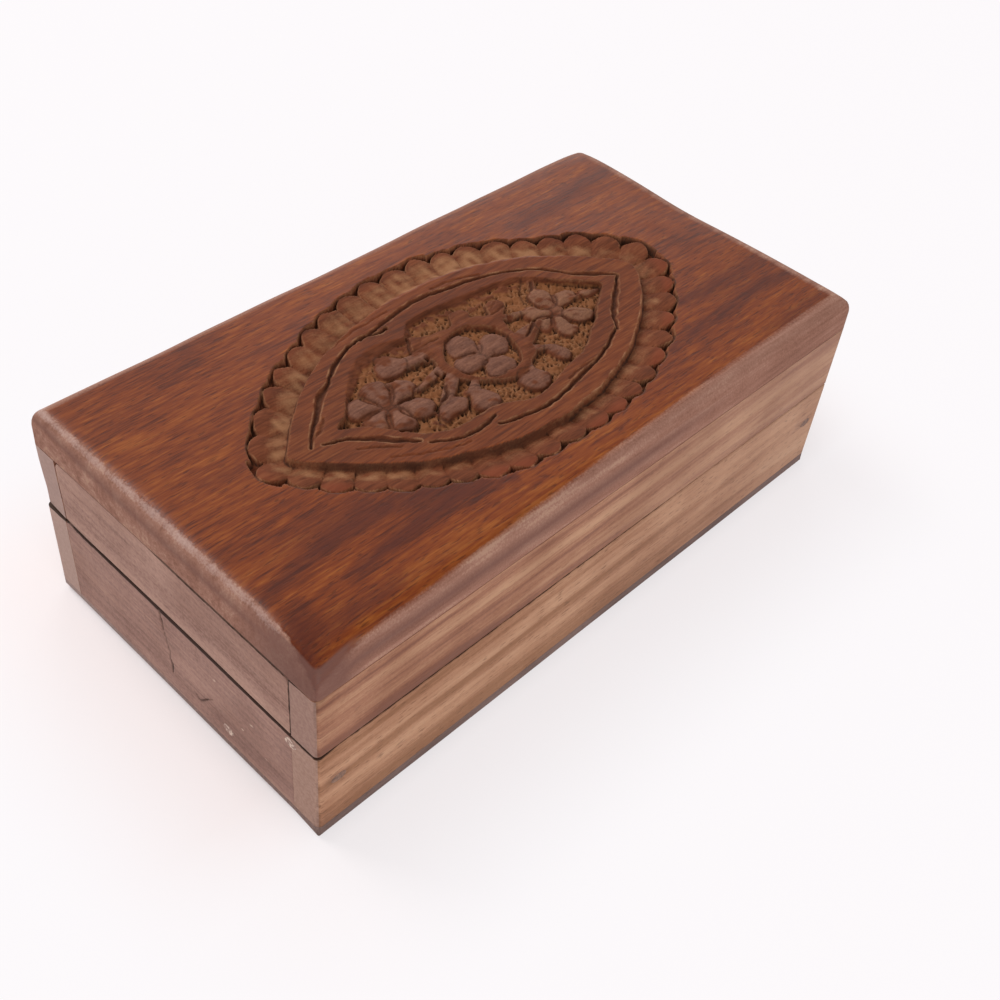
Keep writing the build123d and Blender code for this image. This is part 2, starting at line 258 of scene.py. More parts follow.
print("white paper", 2 * floor_reach, "metres wide")

# %% [markdown]
# Sanding
# The box was sanded after it was glued up, so its boards are flush but not flat: every outer side waves
# in by a tenth of a millimetre or two, and the same wave runs over the joints. One function moves any
# point inwards by that wave, most at the outer side and not at all on the inside, and every wooden
# piece goes through it. The rims are also a little uneven where lid and base meet.

# %% The wave of the sanded sides
end_wave = 0.16
side_wave = 0.14
generator = np.random.default_rng(12)
wave_parts = generator.uniform(0, 2 * pi, (4, 6))


def wave(a, b, row):
    """A slow wave between 0 and 1 over two coordinates in millimetres."""
    phases = wave_parts[row]
    total = np.sin(a / 23 + phases[0]) + 0.8 * np.sin(a / 13 + b / 31 + phases[1])
    total = total + 0.7 * np.sin(b / 17 + phases[2]) + 0.4 * np.sin(a / 6.1 - b / 8.3 + phases[3])
    return 0.5 + 0.5 * total / 2.9


def sanded(points):
    """Points in millimetres, moved inwards from the outer sides and from the rims."""
    x, y, z = points.T
    near = [np.clip((side * value - limit + wall_thickness) / wall_thickness, 0, 1)
            for side, value, limit in ((-1, x, half_length), (1, x, half_length),
                                       (-1, y, half_width), (1, y, half_width))]
    x_new = x + near[0] ** 2 * end_wave * wave(y, z, 0) - near[1] ** 2 * end_wave * wave(y, z, 1)
    y_new = y + near[2] ** 2 * side_wave * wave(x, z, 2)
    # a hinge's barrel stands out behind the wall, and is left alone
    y_new = y_new - np.where(y <= half_width, near[3] ** 2 * side_wave * wave(x, z, 3), 0)
    # the lower back corner of the lid's left end is sanded off further
    extra = np.exp(-((z - 36) / 9) ** 2) * np.clip((y - 30) / 24, 0, 1) ** 2 * (z > rim_height)
    x_new = x_new + near[0] ** 2 * 0.7 * extra
    outer = np.maximum.reduce(near) ** 2
    low_rim = np.clip(1 - (rim_height - z) / 1.2, 0, 1) * (z < rim_height)
    high_rim = np.clip(1 - (z - rim_height) / 1.2, 0, 1) * (z > rim_height)
    z_new = z - low_rim * outer * (0.06 + 0.22 * near[0]) * wave(x * 1.7, y * 1.7, 1)
    z_new = z_new + high_rim * outer * (0.05 + 0.12 * near[0]) * wave(x * 1.7, y * 1.7, 2)
    return np.stack([x_new, y_new, z_new], 1)


print("sanding takes up to", end_wave, "mm off the ends and", side_wave, "mm off the long sides")

# %% [markdown]
# Handing a piece over
# A finished mesh stands for one node of the model. It rides on that node's body, so that it moves with
# the lid or stays with the base, and it fills one material slot. Values at its vertices go along with it.


# %% What every finished piece needs
def place_piece(name, mesh, body, material, node):
    """Puts a finished mesh in the scene for a node of the model, riding on its body."""
    mesh.materials.clear()
    mesh.materials.append(material)
    thing = add_object(name, mesh)
    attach(thing, body)
    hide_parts(node)


def write_values(mesh, name, values, domain="POINT"):
    """Stores a value or a vector for each vertex, or face, under a name that nodes can read."""
    values = np.asarray(values, np.float32)
    kind, field = ("FLOAT_VECTOR", "vector") if values.ndim == 2 else ("FLOAT", "value")
    mesh.attributes.new(name, kind, domain).data.foreach_set(field, values.ravel())


def points_of(mesh, unit=1.0):
    """The vertices of a mesh as rows of coordinates, times a unit."""
    flat = np.zeros(len(mesh.vertices) * 3, np.float32)
    mesh.vertices.foreach_get("co", flat)
    return flat.reshape(-1, 3).astype(float) * unit


def set_points(mesh, points):
    """Moves the vertices of a mesh to points in millimetres, and shades it smooth."""
    mesh.vertices.foreach_set("co", (points * MM).astype(np.float32).ravel())
    mesh.polygons.foreach_set("use_smooth", np.ones(len(mesh.polygons), bool))
    mesh.update()


# %% [markdown]
# Drawing the medallion
# The carver drew a pointed oval with a compass and a rule and then worked by eye, so no two petals are
# alike. The lines are written as listed points, in millimetres from the middle of the lid, and a
# smooth curve is run through them. Each raised or sunk form then follows from the distance to a line.

# %% Curves and distances
def smooth_line(points, closed=False, pieces=6):
    """Rounds a line of given points; each row may carry more values, such as a width."""
    p = np.asarray(points, float)
    before = np.roll(p, 1, 0) if closed else np.vstack([2 * p[0] - p[1], p[:-1]])
    after = np.roll(p, -1, 0) if closed else np.vstack([p[1:], 2 * p[-1] - p[-2]])
    beyond = np.roll(p, -2, 0) if closed else np.vstack([p[2:], after[-1:], 2 * after[-1:] - p[-1:]])
    count = len(p) if closed else len(p) - 1
    out = []
    for i in range(count):
        for t in np.arange(pieces) / pieces:
            a, b, c, d = before[i], p[i], after[i], beyond[i]
            out.append(0.5 * (2 * b + (c - a) * t + (2 * a - 5 * b + 4 * c - d) * t ** 2
                              + (3 * b - a - 3 * c + d) * t ** 3))
    if not closed:
        out.append(p[-1])
    return np.array(out)


def distance_to(points, line, closed=False):
    """Distance from each point to a line, and the line's extra values at the nearest place."""
    ends = np.roll(line, -1, 0) if closed else line[1:]
    best = np.full(len(points), 1e9)
    extra = np.zeros((len(points), line.shape[1] - 2))
    for a, b in zip(line[:len(ends)], ends):
        step = b[:2] - a[:2]
        t = np.clip(((points - a[:2]) @ step) / max(step @ step, 1e-12), 0, 1)
        d = np.hypot(*(points - a[:2] - t[:, None] * step).T)
        closer = d < best
        best = np.where(closer, d, best)
        if extra.shape[1]:
            extra = np.where(closer[:, None], a[2:] + t[:, None] * (b[2:] - a[2:]), extra)
    return best, extra


def inside(points, line):
    """True for the points inside a closed line."""
    x, y = points[:, 0], points[:, 1]
    crossings = np.zeros(len(points), int)
    for a, b in zip(line, np.roll(line, -1, 0)):
        spans = (a[1] > y) != (b[1] > y)
        rise = b[1] - a[1] if b[1] != a[1] else 1e-12
        crossings += spans & (x < (b[0] - a[0]) * (y - a[1]) / rise + a[0])
    return crossings % 2 == 1


def signed_distance(points, line):
    """Distance to a closed line, positive inside it."""
    d = distance_to(points, line, True)[0]
    return np.where(inside(points, line), d, -d)


def ease(value, start, end):
    """0 before start, 1 after end, and a smooth step between."""
    t = np.clip((value - start) / (end - start), 0, 1)
    return t * t * (3 - 2 * t)


# %% The lines of the medallion
petal_middles = [
    (-70.5, -1.4), (-66, -8), (-60.5, -14), (-55, -19), (-48.5, -24), (-42.6, -28), (-36, -31),
    (-29, -34.6), (-21, -37.2), (-13.7, -38.2), (-5, -38.6), (3.7, -38.8), (11.6, -38.2), (19.5, -37),
    (27.4, -35), (35, -31.4), (42.6, -28), (50, -23.5), (57, -18.4), (62.6, -12.5), (68, -6.2),
    (69.5, 3.3), (64.5, 10.5), (59, 16.6), (51.4, 20.7), (44.4, 24.6), (37, 29), (28.6, 32.6),
    (21, 35), (13.4, 36.6), (4.6, 37.4), (-4.4, 37), (-13, 35.6), (-21.6, 34), (-29.4, 31),
    (-37.2, 27.2), (-44.7, 23.6), (-51.8, 19.4), (-59.6, 13.8), (-66.8, 6.6),
]
band_edge = [
    (-64.7, -0.5), (-61, 3.6), (-57, 7.5), (-50, 13.5), (-45, 17), (-40, 20), (-35, 22.5), (-27, 25.3),
    (-18, 27.8), (-9, 29.2), (0, 29.5), (10, 29.3), (20, 28), (30, 25), (38, 21.5), (46, 16.5), (54, 10),
    (59, 4.6), (62, 0), (60.5, -5.4), (55, -11.6), (50, -15.8), (45, -19.2), (35, -25), (25, -29),
    (12, -32.3), (0, -33.5), (-12, -32.8), (-22, -30.5), (-30, -27.5), (-40, -23), (-45, -19.6),
    (-50, -15.6), (-57, -9.5), (-62.5, -4),
]
field_edge = [
    (-49, -0.5), (-45, 2), (-42, 4.6), (-40, 7), (-35, 12), (-30, 15.6), (-25, 17.6), (-20, 17.9),
    (-15, 16.4), (-12.3, 15.6), (-10.5, 17.2), (-7, 19.5), (0, 20.4), (8, 19.4), (14, 18.6), (20, 18),
    (27, 16.8), (33, 14), (36.5, 10.5), (41, 6), (45, 2.5), (48, -1.5), (47, -3.5), (42, -6.5),
    (37, -10), (31.5, -13.5), (26, -17), (20, -19.3), (15, -20.3), (9, -21.5), (5, -23), (0, -23.8),
    (-5, -23), (-9, -20.8), (-12, -19.7), (-20, -19.2), (-25, -19), (-30, -17.6), (-34, -15.5),
    (-37, -12), (-41, -6.5), (-45, -3),
]
# the raised frame round the middle flower, with the leaves that grow out of it
frame_edge = [
    (-14.8, 10.2), (-11.8, 15.2), (-9, 14.2), (-6.2, 12.8), (-3, 12.2), (1.5, 11.6), (3.2, 13.5),
    (4.8, 15.6), (8, 15.6), (10, 13.2), (8.8, 11.2), (10.5, 10.4), (13.2, 8.6), (14.3, 10.8),
    (16, 12.8), (19.4, 12.4), (20.4, 9.6), (18, 7.2), (15.4, 5.2), (13.6, 2.6), (13.2, -1.5),
    (15, -3.8), (20, -0.9), (22.4, -2.8), (17, -5.8), (12.8, -8.6), (12, -10.8), (9, -12.2),
    (5.5, -14.2), (1, -15), (-2.5, -13.8), (-6, -11.2), (-9.8, -8.2), (-11.6, -5.5), (-12.8, -2),
    (-13.2, 1), (-12.2, 4.6), (-12.4, 8.2),
]
# knife cuts: x, y and width along each; the first number is the depth
groove_cuts = [
    (1.0, [(-58.4, -1.6, .3), (-55, 2.2, .5), (-50, 6.4, 1.0), (-46, 10.2, 1.7), (-43, 12.4, 1.5),
           (-40, 13.8, .7), (-35, 17.6, .8), (-30, 20.4, .6), (-25, 22.2, .5), (-20, 22.6, .4),
           (-15.5, 21.3, .5), (-13, 21.8, .4)]),
    (0.4, [(-57, .2, .3), (-53, 1.6, .4), (-49, 4.8, .3)]),
    (0.9, [(-22, 22, .3), (-15, 23.2, .6), (-9, 24.3, 1.0), (0, 25.5, 1.2), (6, 25.2, 1.0), (12, 24.0, 1.0),
           (19, 22.9, .8), (25, 21.2, .4), (29, 19.8, .4), (33, 17.8, .4), (38, 15, .5), (41, 11.7, .8),
           (43.2, 8.6, .5), (46, 5.4, .9), (49.5, 2.6, 1.4), (52.5, .2, .8), (55, -2, .4)]),
    (0.4, [(8, 26.8, .3), (16, 25.8, .4), (24, 22.8, .3)]),
    (0.9, [(-55.4, -2.6, .3), (-50, -4.8, .6), (-46.5, -7.4, 1.3), (-42, -11.4, 1.6), (-39, -14.6, 1.0),
           (-36.5, -17, .4)]),
    (0.8, [(-35, -18.8, .3), (-30, -21.6, .5), (-24, -23.3, .7), (-19, -22.9, .5), (-15.5, -22.2, .3)]),
    (1.0, [(-17, -25, .3), (-11, -26.8, .6), (-3, -28, .7), (4, -27.6, .7), (9, -26.6, .9), (15, -25.3, .9),
           (20, -24.5, .5), (25, -23, .5), (30, -21.1, .6), (35.5, -18.4, .3)]),
    (0.4, [(9.5, -24.8, .3), (15, -23.8, .3), (21, -23.6, .3)]),
    (1.0, [(36, -19, .3), (37.5, -16.8, .6), (40, -14, .9), (44.5, -10.3, 1.4), (49, -6.8, 1.0),
           (54.8, -2.4, .4)]),
    (0.35, [(-50, -9.5, .3), (-45, -12.5, .4), (-41, -15.5, .3)]),
    (0.3, [(-30, 24.2, .3), (-20, 26, .3), (-8, 26.8, .3)]),
    (0.3, [(-46, -16.5, .3), (-36, -22.2, .3), (-27, -25.4, .3)]),
]
leaf_cuts = [
    (0.8, [(-30.5, -2.3, .5), (-26, -2.6, .6), (-24, -3.6, .4)]),
    (0.9, [(-25.5, -2.4, .4), (-23, -.8, .7), (-19.5, .4, .5)]),
    (0.5, [(-29, 1.4, .4), (-28.3, 4.3, .4)]),
    (0.6, [(-31, -7.8, .5), (-30.6, -5.6, .4)]),
    (1.0, [(-25, -10, .5), (-22, -8.9, .7), (-19.4, -8.6, .7), (-16.8, -5.4, .5)]),
    (0.8, [(-24, -10, .5), (-27.5, -14.5, .4)]),
    (0.8, [(-14.5, -11.5, .6), (-18, -16, .4)]),
    (1.0, [(-11.5, 15, .8), (-14.5, 10.3, .7)]),
    (1.0, [(14.6, -4.8, .5), (18, -3, .7), (21.8, -.8, .5)]),
    (0.5, [(27, 4.6, .4), (26.8, 2.6, .5), (28, 1.2, .4)]),
    (0.6, [(28.4, -5.5, .4), (28.8, -8, .6), (30.5, -10.2, .5)]),
    (0.9, [(31, 9, .8), (33.5, 11.8, 1.0)]),
    (0.7, [(26, 7, .4), (27.6, 10.5, .7), (32, 14, .5)]),
    (0.4, [(-22.6, 8.6, .4), (-20.6, 10.6, .4)]),
    (0.3, [(3.6, -20.5, .3), (2.8, -16.2, .4)]),
    (0.3, [(-13.6, -18.4, .3), (-12.2, -13, .4)]),
    (0.35, [(-6.5, 14, .3), (-10.5, 11, .5), (-12.5, 10.4, .3)]),
    (0.5, [(-14.5, 9.8, .4), (-10, 9.9, .4), (-5, 9.7, .3)]),
    (0.6, [(-17, -4.8, .4), (-20, -8.6, .6), (-25, -10.1, .5)]),
    (0.4, [(-13, 3.2, .4), (-16.5, 3.4, .4), (-19, 5.4, .3)]),
    (0.5, [(13.5, 8, .4), (17, 8.2, .4), (20.2, 8.8, .3)]),
    (0.4, [(15.5, 10, .4), (18.5, 11.6, .3)]),
    (0.4, [(33.2, -5.2, .4), (35.2, -7.8, .4)]),
    (0.4, [(41, -1.2, .4), (46, -2.4, .4)]),
    (0.35, [(-4, 2, .3), (-.5, 4.6, .3)]),
    (0.35, [(3.4, -1.6, .3), (7.6, -.6, .3)]),
    (0.35, [(-6.8, -2.4, .3), (-3, -2.6, .3)]),
]
# flat forms that stand up from the ground: height below the face, tilt along x and y, and the outline
left_flower = [
    (0.50, 0.05, -0.02, [(-43.2, 3.6), (-41, 5.7), (-37, 5.9), (-35.7, 2.5), (-35.2, -.5), (-38.5, -.8),
                         (-42, -.7), (-43.4, 1.2)]),
    (0.30, 0.00, 0.06, [(-35.9, 5.6), (-34.5, 7.5), (-31.5, 8.3), (-28.8, 7), (-28.1, 4.6), (-29.5, 1.2),
                        (-32.5, -.8), (-35, .8)]),
    (0.28, -0.04, 0.04, [(-27.6, 5), (-25, 5.1), (-22.8, 3.2), (-21.8, .6), (-24, -1.8), (-28, -2.1),
                         (-31.5, -1.4), (-28.6, 2)]),
    (0.22, -0.05, -0.05, [(-30.4, -2.9), (-26.5, -3.2), (-24, -4.6), (-23, -7), (-24.4, -9.7),
                          (-27.5, -10.4), (-30.3, -9), (-31.2, -5.6)]),
    (0.38, 0.00, -0.06, [(-31.6, -4), (-31.3, -8), (-31.9, -10.7), (-34.6, -11.4), (-37.4, -9.5),
                         (-36.9, -6.4), (-34, -3)]),
    (0.52, 0.06, -0.02, [(-42.7, -3.6), (-42.1, -6.5), (-39, -8), (-37.1, -6.4), (-35, -3.2), (-35.4, -1.6),
                         (-41, -1.4)]),
]
right_flower = [
    (0.45, 0.03, -0.03, [(21, 2), (22.8, 4.8), (25.6, 4.4), (26.4, 1.5), (28, -.6), (25.5, -2), (22, -.6)]),
    (0.30, 0.00, 0.05, [(27.2, 4.5), (28.3, 7.7), (31.5, 8.7), (33.9, 6.4), (33.6, 3.2), (31.4, .6),
                        (28.6, .9), (27.4, 2.6)]),
    (0.28, -0.05, 0.00, [(32.2, .4), (34.6, 3.6), (38.2, 3.3), (40.3, 1.2), (37.6, -.9), (33, -1)]),
    (0.28, -0.03, -0.04, [(30.8, -3.5), (33.6, -3.3), (36.6, -5.6), (37.6, -8.4), (34.4, -9.8), (31.4, -8.7),
                          (29.8, -6)]),
    (0.36, 0.00, -0.05, [(29, -5.2), (28.4, -8.2), (29, -10.3), (26, -11.5), (23.4, -9.4), (24.6, -5.6),
                         (27.4, -3.2)]),
    (0.55, 0.05, -0.02, [(19.8, -3.4), (22.2, -1.4), (25.6, -2.6), (24.4, -5), (21.4, -6.2)]),
]
middle_flower = [
    (0.45, 0.02, 0.03, [(-6.6, 3.6), (-5, 6.5), (-2, 7.9), (1.2, 7.1), (2.5, 4), (2, .8), (-.6, -.6),
                        (-5, .6)]),
    (0.42, 0.03, -0.02, [(-9.2, -1.6), (-8.6, -3.9), (-6.4, -5.4), (-3, -5.1), (-.8, -3.6), (-.7, -1),
                         (-4, .3), (-7.6, .8)]),
    (0.40, -0.03, 0.00, [(2, 1.2), (5.2, 3.1), (8.6, 2.5), (10, -.4), (9, -3.1), (6.4, -4.8), (3, -4),
                         (.6, -1.8)]),
    (0.42, 0.00, -0.04, [(-1, -4.6), (1.6, -4.4), (3.8, -5.6), (4.9, -8.4), (3.4, -11.1), (0, -11.7),
                         (-3.5, -10.4), (-3.6, -7)]),
]
loose_leaves = [
    (0.40, 0.03, -0.02, [(-26.8, 8), (-25.8, 12), (-22.6, 14.3), (-19.4, 13), (-18.2, 9.8), (-20, 7),
                         (-23.6, 6.2)]),
    (0.45, 0.03, -0.03, [(-25.4, -11), (-22.5, -9.6), (-19.4, -8.9), (-16.8, -10.4), (-16, -12.4),
                         (-18.8, -14.6), (-22, -14.2), (-25.6, -14.8)]),
    (0.50, 0.02, -0.03, [(-14.2, -9.6), (-10.8, -10.8), (-9.2, -13), (-8.8, -17), (-11.8, -19.8),
                         (-15.2, -18.4), (-16.6, -15.6), (-14.8, -12.4)]),
    (0.50, 0.00, -0.03, [(.3, -15.2), (3.2, -14), (6.8, -15), (8.4, -18), (6.4, -20.8), (3, -22.3),
                         (.4, -20.4), (-.6, -17.6)]),
    (0.55, 0.02, -0.03, [(15, -11.4), (17.6, -10.6), (19.4, -13), (19.2, -16.4), (17, -18), (15.2, -16)]),
    (1.10, 0.00, 0.00, [(-29, -12.6), (-27.4, -12.2), (-25.8, -15.2), (-27, -16.6), (-28.8, -15)]),
    (0.75, 0.00, 0.00, [(40.4, -.4), (42.4, .8), (45.2, -.8), (47, -2.4), (44, -3.4), (41, -2.6)]),
]
rose_pit_edge = [
    (-10.2, -1), (-9.7, 2), (-7.2, 5.2), (-4, 7.8), (0, 9), (3, 8.9), (6, 7.7), (8.8, 5.4), (10.4, 2.4),
    (10.7, -.5), (10, -4), (8.7, -7.2), (6, -10.6), (2, -12.2), (-2, -12), (-5.5, -10.6), (-8.4, -7.8),
    (-9.9, -4.4),
]
# the middles of the flowers: petals join there, so the cuts between them are shallow
flower_hearts = [(-33, -1.8, 3.2), (29.4, -1.2, 3.2), (.4, -2, 2.4)]
# stems: start, end and half width at each
stems = [
    (-12, 7.2, -20, 8.6, 2.2, 1.7), (-12.6, 0.4, -23.4, -1.4, 1.5, 0.9),
    (-12.4, -3.6, -20.5, -9.4, 1.9, 1.5), (12.5, -9.2, 16.6, -11.6, 1.2, 1.0),
    (6.2, -13, 5.4, -15.6, 1.3, 1.2), (-9.8, -9, -12.2, -11.4, 1.2, 1.6), (13, 6.2, 22, 3.2, 1.0, 0.8),
    (12.6, -2.6, 22, -2.4, 1.6, 1.2), (31, 8, 33.8, 12.2, 1.0, 1.2), (35.6, -0.6, 41, -1.4, 0.7, 0.6),
]
# holes left by the point of the gouge: middle, radius and depth
gouge_pits = [
    (-12.8, 6.0, 1.2, 1.5), (-14.6, 5.2, 0.9, 1.1), (-15, -0.6, 1.1, 1.4), (-12.7, -7.4, 1.4, 1.6),
    (1.6, 7.0, 0.9, 1.0), (9.4, 3.4, 1.4, 1.3), (18, -7, 1.4, 1.4), (3.3, -3.8, 0.5, 0.5),
    (-3.6, -6.3, 1.0, 1.2), (17.4, 4.4, 1.6, 1.4), (-26, 5.2, 1.4, 1.0), (-37.2, -11, 1.2, 1.0),
    (-13.4, 21.4, 0.8, 1.0), (21.6, -9.6, 1.0, 1.0),
]
print("petals on the border", len(petal_middles), "knife cuts", len(groove_cuts) + len(leaf_cuts))

# %% [markdown]
# The carved board as one surface
# A boolean for every cut would be slow and would leave ragged edges. A carved board is a height field,
# though: for each point of its face there is one depth. So the face is a fine grid under the medallion,
# with a vertex every third of a millimetre, which is about what a picture of the whole box can show,
# and wide triangles around it. The depths of band, groove, field and flowers come from the distances.

# %% Depth of the hand-drawn parts
field_depth = 2.1


def rough(points, size, seed):
    """Uneven bumps of about a given size, mostly between -1 and 1."""
    chance = np.random.default_rng(seed)
    total = np.zeros(len(points))
    for _ in range(14):
        turn, phase = chance.uniform(0, 2 * pi, 2)
        length = size * chance.uniform(0.7, 1.8)
        total += np.sin((points[:, 0] * cos(turn) + points[:, 1] * sin(turn)) * 2 * pi / length + phase)
    return total / 4


def knife_cuts(points, depth, cuts, width_factor=1.0):
    """Lowers the surface along round-bottomed cuts; says how deep in a cut and how near its burr one is."""
    in_cut, burr = np.zeros(len(points)), np.zeros(len(points))
    for cut_depth, line in cuts:
        d, width = distance_to(points, smooth_line(line))
        half_width = width_factor * width[:, 0] / 2 + 0.26
        profile = np.clip(1 - (d / half_width) ** 2, 0, 1)
        depth = depth + (cut_depth - 0.45 * np.clip(depth, 0, 1)) * profile
        in_cut = np.maximum(in_cut, profile * min(1.0, cut_depth * 1.4))
        burr = np.maximum(burr, ease(-np.abs(d - half_width - 0.2), -0.4, 0) * cut_depth)
    return depth, in_cut, burr


def stand_up(points, forms, wall=0.45):
    """Depth of the tops of pillowed forms, steep outside their outlines, and the distance to an outline."""
    top = np.full(len(points), 99.0)
    line_near = np.full(len(points), 9.0)
    for below, tilt_x, tilt_y, outline in forms:
        line = smooth_line(outline, True, 4)
        middle_x, middle_y = line.mean(0)
        near = np.hypot(points[:, 0] - middle_x, points[:, 1] - middle_y) < 9
        p = points[near]
        edge = signed_distance(p, line) + 0.55
        own = below - tilt_x * (p[:, 0] - middle_x) - tilt_y * (p[:, 1] - middle_y)
        own = own + 0.75 * (1 - ease(edge, 0.1, 2.6)) + 3 * ease(-edge, -0.2, wall)
        top[near] = np.minimum(top[near], own)
        line_near[near] = np.minimum(line_near[near], np.abs(edge))
    return top + 0.4 * ease(-line_near, -0.7, -0.2), line_near


def drawn_depth(points):
    """Depth below the face of all but the border and the punch marks, and what each point belongs to."""
    x, y = points[:, 0], points[:, 1]
    depth, in_cut, burr = knife_cuts(points, np.zeros(len(points)), groove_cuts)
    field = signed_distance(points, smooth_line(field_edge, True, 4))
    wall = 0.65 + 1.9 * ease(y, 4, 10) * ease(-x, 12, 20) + 0.7 * ease(y, 8, 14)
    ground_level = field_depth + 0.22 * rough(points, 2.6, 21) - 0.35 * ease(rough(points, 9, 22), 0, 1)
    ground_level = ground_level - 0.75 * ease(y, 3, 13) * ease(-field, -9, -3)
    ground = ground_level * np.clip((field + 0.1) / wall, 0, 1)
    # the frame, stems and flowers stand up from the sunk ground, and the rose lies in a round pit
    frame_in = signed_distance(points, smooth_line(frame_edge, True, 4))
    pit_in = signed_distance(points, smooth_line(rose_pit_edge, True, 4))
    tops = 0.2 + 0.35 * (1 - ease(frame_in, 0, 1.6)) + 3 * ease(-frame_in, -0.15, 0.45)
    for x0, y0, x1, y1, w0, w1 in stems:
        d, width = distance_to(points, np.array([(x0, y0, w0), (x1, y1, w1)]))
        side = width[:, 0] - d
        tops = np.minimum(tops, 0.4 + 0.3 * (1 - ease(side, 0, 1.2)) + 3 * ease(-side, -0.15, 0.45))
    forms, line_near = stand_up(points, loose_leaves + left_flower + right_flower)
    tops = np.minimum(tops, forms)
    pit_depth = 1.85 + 0.2 * rough(points, 2.2, 23)
    rose, rose_line = stand_up(points, middle_flower)
    in_pit = np.minimum(rose, pit_depth)
    line_near = np.where(pit_in > 0, rose_line, line_near)
    tops = np.where(pit_in > -0.3, tops + (in_pit - tops) * ease(pit_in, -0.15, 0.5), tops)
    for hx, hy, radius in flower_hearts:
        heart = 1.15 + 3 * ease(np.hypot(x - hx, y - hy), radius - 0.3, radius + 0.4)
        tops = np.minimum(tops, heart)
    in_field = np.minimum(ground, np.maximum(tops + 0.10 * rough(points, 5, 24), 0))
    depth = np.where(field > -0.2, np.maximum(depth * (field < 0), in_field), depth)
    depth, in_leaf_cut, leaf_burr = knife_cuts(points, depth, leaf_cuts)
    # a dark outline at the foot of the raised forms is painted shade, as in a cut
    outline = ease(-line_near, -0.6, -0.15) * (field > 0.2) * ease(depth, 2.0, 1.5)
    in_cut = np.maximum.reduce([in_cut, in_leaf_cut, 0.75 * outline])
    # a pale highlight is painted along the lower rim of the field
    field_rim_highlight = ease(-np.abs(field + 0.25), -0.4, -0.05) * ease(y, -4, -10)
    burr = np.maximum.reduce([burr, leaf_burr * 0.6, 0.7 * field_rim_highlight])
    for px, py, radius, pit in gouge_pits:
        r = np.hypot(x - px, (y - py) * 1.15)
        depth = np.maximum(depth, np.minimum(depth + pit * ease(-r, -radius, -radius * 0.3), 2.5))
    floor_left = np.minimum(ground, np.where(pit_in > 0.4, pit_depth, 9))
    is_floor = ease(floor_left - depth, 0.3, 0.05) * ease(floor_left, 1.0, 1.5)
    is_flower = ease(depth, 1.4, 0.8) * ease(floor_left, 1.5, 2.0) * ease(frame_in, 0.6, -0.6)
    is_flower = np.maximum(is_flower, ease(pit_in, 0.2, 0.9) * ease(depth, 1.6, 1.1))
    depth = depth + 0.07 * rough(points, 1.6, 25) * ease(depth, 0.1, 0.5)
    return depth, is_floor, is_flower, in_cut, burr


# %% Fine grid under the medallion
grid_step = 0.335
xs = np.arange(-78, 77.5, grid_step)
ys = np.arange(-46.5, 44.5, grid_step)
grid_x, grid_y = np.meshgrid(xs, ys, indexing="ij")
grid = np.stack([grid_x.ravel(), grid_y.ravel()], 1)
border_line = smooth_line(petal_middles, True, 4)
margin = 5.6
near_medallion = inside(grid, border_line) | (distance_to(grid, border_line, True)[0] < margin)
near_medallion = near_medallion.reshape(grid_x.shape)
cells = near_medallion[:-1, :-1] & near_medallion[1:, :-1] & near_medallion[:-1, 1:] & near_medallion[1:, 1:]
used = np.zeros_like(near_medallion)
for di in (0, 1):
    for dj in (0, 1):
        used[di:used.shape[0] - 1 + di, dj:used.shape[1] - 1 + dj] |= cells
number = np.full(used.shape, -1)
number[used] = np.arange(used.sum())
fine = np.stack([grid_x[used], grid_y[used]], 1)
print("vertices in the fine grid", len(fine), "cells", int(cells.sum()))

# %% Depths on the grid, and the two triangles of each cell
wobble = np.column_stack([0.11 * rough(fine, 3.2, 31) + 0.14 * rough(fine, 9, 34),
                          0.11 * rough(fine, 3.2, 32) + 0.14 * rough(fine, 9, 35)])
depth_fine, bare_fine, flower_fine, cut_fine, burr_and_rim_highlight_fine = drawn_depth(fine + wobble)
depth_grid = np.zeros(used.shape)
depth_grid[used] = depth_fine
ci, cj = np.nonzero(cells)
round_a_cell = ((0, 0), (1, 0), (1, 1), (0, 1))
corner = np.array([number[ci + i, cj + j] for i, j in round_a_cell])
level = np.array([depth_grid[ci + i, cj + j] for i, j in round_a_cell])
# the diagonal joins the two corners that are nearer in height, so that edges don't look like saws
rising = np.abs(level[0] - level[2]) <= np.abs(level[1] - level[3])
first_half = np.where(rising, corner[[0, 1, 2]], corner[[0, 1, 3]]).T
second_half = np.where(rising, corner[[0, 2, 3]], corner[[1, 2, 3]]).T
faces = np.vstack([first_half, second_half]).tolist()
print("triangles under the medallion", len(faces))

# %% [markdown]
# The shoulder and the sides
# Round the flat part the board is closed rows of points, each a little further out and lower: over the
# sanded shoulder, down the side and a step under the edge. The shoulder wanders by a sixth, as a sanding
# block does, and the corners have worn down more than the sides.

# %% Outer rows of the board: from the flat face over the shoulder and down the sides
# each row: distance in from the side, drop below the face
edge_rows = [
    (6.4, 0.0), (4.9, 0.05), (3.8, 0.15), (3.0, 0.38), (2.4, 0.78), (1.85, 1.4), (1.35, 2.2), (0.9, 3.2),
    (0.52, 4.5), (0.24, 6.2), (0.08, 8.2), (0.02, 10.4), (0.0, 10.9), (0.12, 11.3),
]
corner_radii = {(1, 1): 2.0, (-1, 1): 1.5, (-1, -1): 1.8, (1, -1): 1.5}
corner_points = 9


